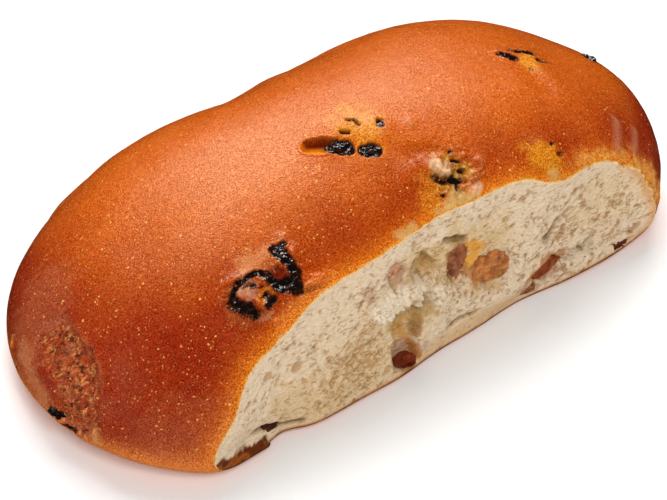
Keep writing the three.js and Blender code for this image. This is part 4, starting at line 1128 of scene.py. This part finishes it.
# Each raisin's node, place, size, turn in degrees, and how deep it sits as a share of its thickness.
CRUST_RAISINS = [
    ("raisin_shoulder_upper", (-29, -22.6, 36), (11, 6, 5), 78, 0.5),
    ("raisin_shoulder_lower", (-37.9, -23.8, 33), (11, 8.8, 5.5), 40, 0.52),
    ("raisin_split_left", (-5.8, -8.4, 44.6), (6.8, 4.2, 4), -36, 0.42),
    ("raisin_split_right", (-0.6, -11.7, 43.8), (6, 4.0, 4), -28, 0.4),
    ("raisin_burst", (11, -21.8, 38.5), (9, 6.5, 4.5), 25, 0.6),
    ("raisin_far_left", (44.2, 1, 37.3), (7.5, 4.6, 4), 10, 0.52),
    ("raisin_far_right", (51.3, -2.2, 34.2), (4.6, 3.4, 3), 20, 0.55),
    ("raisin_end_top", (67.8, 1, 24), (5.8, 3.8, 3.6), 60, 0.3),
    ("raisin_golden", (36.2, -23.8, 33.4), (5, 3.6, 3.2), 35, 0.55),
    ("raisin_scar_foot", (-74, -6.5, 5.0), (9.5, 4.6, 4.2), 0, 0.6),
    ("raisin_left_edge", (-74, 8, 9), (6.5, 3.6, 3.6), 10, 0.56),
    ("raisin_back_left", (-44, 34, 17), (9.5, 6.2, 4.6), 30, 0.36),
    ("raisin_back_middle", (4, 38, 20), (8.5, 5.4, 4.6), -20, 0.4),
    ("raisin_back_right", (43, 33, 18), (10, 6, 4.6), 65, 0.34),
]
RAISIN_SQUARENESS, RAISIN_PULL = 2.4, np.array([0.5, 1.0, 1.0])
# Size and sharpness of the furrows, the creases and the ridges of a raisin's skin.
FURROWS, CREASES, RIDGES = (1.25, 4), (0.55, 3), (1.6, 6)
CREASE_DEPTH, RIDGE_SHARE, CREASE_SHADE = 0.18, 0.6, 0.7
BAKED_WRINKLE, BAKED_TAPER, BAKED_SEED = 0.8, 0.15, 100
LEVEL_ENOUGH = 0.3


def unit_ball(subdivisions):
    """The corners and faces of a ball of radius 1."""
    ball = bmesh.new()
    bmesh.ops.create_icosphere(ball, subdivisions=subdivisions, radius=1.0)
    points = np.array([vertex.co for vertex in ball.verts])
    faces = np.array([[vertex.index for vertex in face.verts] for face in ball.faces])
    ball.free()
    return points, faces


def seat_of(point, outward, turn, sink):
    """Place and directions (along, across, outward) of a raisin turned in the surface at a point."""
    level = np.array([1.0, 0, 0]) - outward * outward[0]
    if np.linalg.norm(level) < LEVEL_ENOUGH:
        level = np.array([0, 1.0, 0]) - outward * outward[1]
    level = level / np.linalg.norm(level)
    side = np.cross(outward, level)
    turn = math.radians(turn)
    along = level * math.cos(turn) + side * math.sin(turn)
    return point - outward * sink, np.stack([along, np.cross(outward, along), outward])


def raisin_points(ball, size, taper, wrinkle, seed):
    """A wrinkled raisin about its own middle, long in x and narrower at its low end, and its furrows."""
    angle = np.arctan2(ball[:, 2], ball[:, 1])
    folds = np.sin(RAISIN_FOLDS * angle + FOLD_TWIST * ball[:, 0] + size[0])
    girth = 1 + FOLD_DEPTH * folds * (1 - ball[:, 0] ** 2)
    full = ball / (np.abs(ball) ** RAISIN_SQUARENESS).sum(axis=1, keepdims=True) ** (1 / RAISIN_SQUARENESS)
    shape = full * np.array(size) / 2
    shape[:, 1:] *= (girth * (1 + taper * full[:, 0]))[:, None]
    pulled = shape * RAISIN_PULL
    furrows = ridged_noise(pulled, *FURROWS, seed)
    creases = ridged_noise(pulled, *CREASES, seed + 1)
    ridges = ridged_noise(pulled, *RIDGES, seed + 1)
    inward = wrinkle * (furrows - RIDGE_SHARE * ridges) + CREASE_DEPTH * creases
    return shape - ball * inward[:, None], np.maximum(furrows, CREASE_SHADE * creases)


def raisin_piece(name, placed, wrinkle):
    """One mesh of raisins, each given as its seat's point and directions, size, taper, tone and seed."""
    ball, ball_faces = unit_ball(RAISIN_SUBDIVISIONS)
    all_points = []
    all_faces = []
    tones = []
    creases = []
    for (middle, directions), size, taper, tone, seed in placed:
        shape, furrow_shading = raisin_points(ball, size, taper, wrinkle, seed)
        all_faces.append(ball_faces + len(ball) * len(all_points))
        all_points.append(middle + shape @ directions)
        tones.append(np.tile(tone, (len(ball), 1)))
        creases.append(furrow_shading)
    piece = mesh_object(name, np.concatenate(all_points), np.concatenate(all_faces))
    piece.data.polygons.foreach_set("use_smooth", np.ones(len(piece.data.polygons), dtype=bool))
    add_colour(piece.data, "tone", np.concatenate(tones))
    # The furrows' mask, which the soft raisins' finish uses to paint shade in the furrows and highlight on
    # the ridges.
    add_mask(piece.data, "furrow_shading", np.concatenate(creases))
    return piece


placed = []
for number, (_, where, size, turn, sunk) in enumerate(CRUST_RAISINS):
    point, outward = crust_at(np.array([where], dtype=float))
    seat = seat_of(point[0], outward[0], turn, sunk * size[2])
    placed.append((seat, size, BAKED_TAPER, BAKED_BLACK, BAKED_SEED + 2 * number))
baked_raisins = raisin_piece("baked_raisins", placed, BAKED_WRINKLE)
baked_raisins.data.materials.append(raisin_skin)
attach(baked_raisins, "root")
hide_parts(*[row[0] for row in CRUST_RAISINS])

# Raisins in the torn crumb
# Raisins from inside the dough, soft and brown because the crumb kept them moist. The tear left each half
# showing in the crumb.
SOFT_BROWN, SOFT_MAUVE, SOFT_PINK = (0.46, 0.16, 0.04), (0.29, 0.09, 0.035), (0.50, 0.25, 0.14)
SOFT_RED, SOFT_BLACK = (0.15, 0.018, 0.004), (0.06, 0.018, 0.006)
SOFT_RUST, SOFT_DARK = (0.26, 0.055, 0.014), (0.12, 0.025, 0.008)
SOFT_WRINKLE, SOFT_SEED = 0.38, 200
# Each raisin's node, place along and up the torn side, size, turn in degrees, how deep it sits as a share of
# its thickness, taper and colour.
CRUMB_RAISINS = [
    ("raisin_torn_left", 8.9, 20.0, (13, 7.6, 4.8), 94, 0.44, 0.7, SOFT_MAUVE),
    ("raisin_torn_right", 18.2, 13.8, (10.8, 8.4, 5), -15, 0.47, 0.1, SOFT_BROWN),
    ("raisin_pocket", -6.6, 3.9, (5.2, 3.0, 4), -15, 0.2, 0.1, SOFT_RED),
    ("raisin_base_long", 32.0, 6.4, (9.5, 4.4, 3.6), 4, 0.5, -0.2, SOFT_RUST),
    ("raisin_base_short", 26.3, 3.8, (5.6, 2.8, 2.4), -12, 0.25, 0.1, SOFT_MAUVE),
    ("raisin_far_foot", 50.6, 2.8, (6.5, 2.8, 2.8), 8, 0.42, 0.1, SOFT_DARK),
    ("raisin_veiled", -7.2, 27.3, (5.2, 4.2, 3.4), 60, 0.5, 0.1, SOFT_PINK),
    ("raisin_scrap", -13.9, 23.1, (3.2, 2.4, 2.2), -35, 0.25, 0.1, SOFT_BROWN),
    ("raisin_notch", -39.8, 4.8, (4.2, 2.2, 2.4), 10, 0.6, 0.1, SOFT_BLACK),
]
placed = []
tear_outward = np.array([TEAR_SKEW, -1.0, TEAR_LEAN])
tear_outward = tear_outward / np.linalg.norm(tear_outward)
for number, (_, along, up, size, turn, sunk, taper, tone) in enumerate(CRUMB_RAISINS):
    point = np.array([along, float(tear_at(np.array(float(along)), np.array(float(up)))), up])
    seat = seat_of(point, tear_outward, turn, sunk * size[2])
    placed.append((seat, size, taper, tone, SOFT_SEED + 2 * number))
soft_raisins = raisin_piece("soft_raisins", placed, SOFT_WRINKLE)

# The finish of soft raisins: mottled, with a painted highlight on the ridges and painted shade in the
# furrows, and moist.
MOTTLE, MOTTLE_TONES, MOTTLE_DARK, MOTTLE_LIGHT = 1.6, (0.3, 0.7), (0.7, 0.6, 0.5), (1.25, 1.3, 1.3)
SOFT_RIDGE_HIGHLIGHT, RIDGE_HIGHLIGHT_TONES = (1.5, 1.9, 2.2), (0.16, 0.04, 0.0, 0.6)
SOFT_FURROW_SHADE, FURROW_SHADE_TONES = (0.4, 0.25, 0.2), (0.55, 1.0, 0.0, 0.7)
SOFT_GRAIN, SOFT_BUMP, SOFT_BUMP_STRENGTH = 0.5, 0.2, 0.6
soft_material = bpy.data.materials.new("soft_raisin")
soft_material.use_nodes = True
tree = soft_material.node_tree
soft_shader = tree.nodes["Principled BSDF"]
tone = add_node(tree, "ShaderNodeAttribute", attribute_name="tone").outputs["Color"]
furrow_shading = mask_of(tree, "furrow_shading")
mottled = mixed(tree, ranged(tree, grain(tree, MOTTLE), *MOTTLE_TONES), MOTTLE_DARK, MOTTLE_LIGHT)
colour = shaded(tree, tone, mottled)
colour = mixed(tree, ranged(tree, furrow_shading, *RIDGE_HIGHLIGHT_TONES), colour, shaded(tree, colour, SOFT_RIDGE_HIGHLIGHT))
colour = mixed(tree, ranged(tree, furrow_shading, *FURROW_SHADE_TONES), colour, shaded(tree, colour, SOFT_FURROW_SHADE))
tree.links.new(colour, soft_shader.inputs["Base Color"])
add_bump(tree, soft_shader, grain(tree, SOFT_GRAIN), SOFT_BUMP, SOFT_BUMP_STRENGTH)
set_inputs(soft_shader, {"Roughness": 0.3})
soft_raisins.data.materials.append(soft_material)
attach(soft_raisins, "root")
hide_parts(*[row[0] for row in CRUMB_RAISINS])

# Floor, light and camera
# A plain pale table under a broad soft light from behind, with the camera where the photo was taken from.
# Places and sizes of the table, the lights and the camera are in metres.
FLOOR = 4.0
floor = bpy.data.objects.new("floor", bpy.data.meshes.new("floor"))
floor_corners = [(-FLOOR, -FLOOR, 0), (FLOOR, -FLOOR, 0), (FLOOR, FLOOR, 0), (-FLOOR, FLOOR, 0)]
floor.data.from_pydata(floor_corners, [], [(0, 1, 2, 3)])
bpy.context.scene.collection.objects.link(floor)
floor_material = bpy.data.materials.new("pale_table")
floor_material.use_nodes = True
floor_shader = floor_material.node_tree.nodes["Principled BSDF"]
set_inputs(floor_shader, {"Base Color": (0.88, 0.88, 0.88, 1), "Roughness": 0.9})
floor.data.materials.append(floor_material)
floor.visible_glossy = False

world = bpy.data.worlds.new("studio")
bpy.context.scene.world = world
world.use_nodes = True
set_inputs(world.node_tree.nodes["Background"], {"Color": (1, 1, 1, 1), "Strength": 0.34})
world.cycles_visibility.glossy = False
LIGHT_AIM = Vector((0, 0, 0.02))


def soft_light(name, place, size, power):
    """A round soft light aimed at the bun."""
    light = bpy.data.lights.new(name, "AREA")
    light.shape = "DISK"
    light.size = size
    light.energy = power
    lamp = bpy.data.objects.new(name, light)
    lamp.location = place
    lamp.rotation_euler = (Vector(place) - LIGHT_AIM).to_track_quat("Z", "Y").to_euler()
    bpy.context.scene.collection.objects.link(lamp)
    return lamp


soft_light("overhead", (0.33, 0.62, 0.85), 1.1, 13.8)
soft_light("spark", (0.05, 0.45, 0.9), 0.12, 0.5)
fill = soft_light("front_fill", (-0.28, -0.66, 0.86), 0.6, 6.8)
fill.visible_glossy = False
soft_light("side_card", (-1.0, 0.1, 0.25), 0.8, 1.6)

AZIMUTH, ELEVATION, DISTANCE = math.radians(-36.09), math.radians(43.82), 0.7
LENS, SENSOR, NEAREST, FARTHEST = 182.75, 36, 0.01, 20
AIM = (Vector((-5.37, -5.56, 13.89)) - Vector(FOOTPRINT_MIDDLE)) * MM
back = Vector((
    math.sin(AZIMUTH) * math.cos(ELEVATION),
    -math.cos(AZIMUTH) * math.cos(ELEVATION),
    math.sin(ELEVATION),
))
camera_data = bpy.data.cameras.new("camera")
camera_data.lens = LENS
camera_data.sensor_width = SENSOR
camera_data.clip_start = NEAREST
camera_data.clip_end = FARTHEST
camera = bpy.data.objects.new("camera", camera_data)
camera.location = AIM + back * DISTANCE
camera.rotation_euler = back.to_track_quat("Z", "Y").to_euler()
bpy.context.scene.collection.objects.link(camera)
bpy.context.scene.camera = camera
bpy.context.scene.view_settings.view_transform = "Standard"
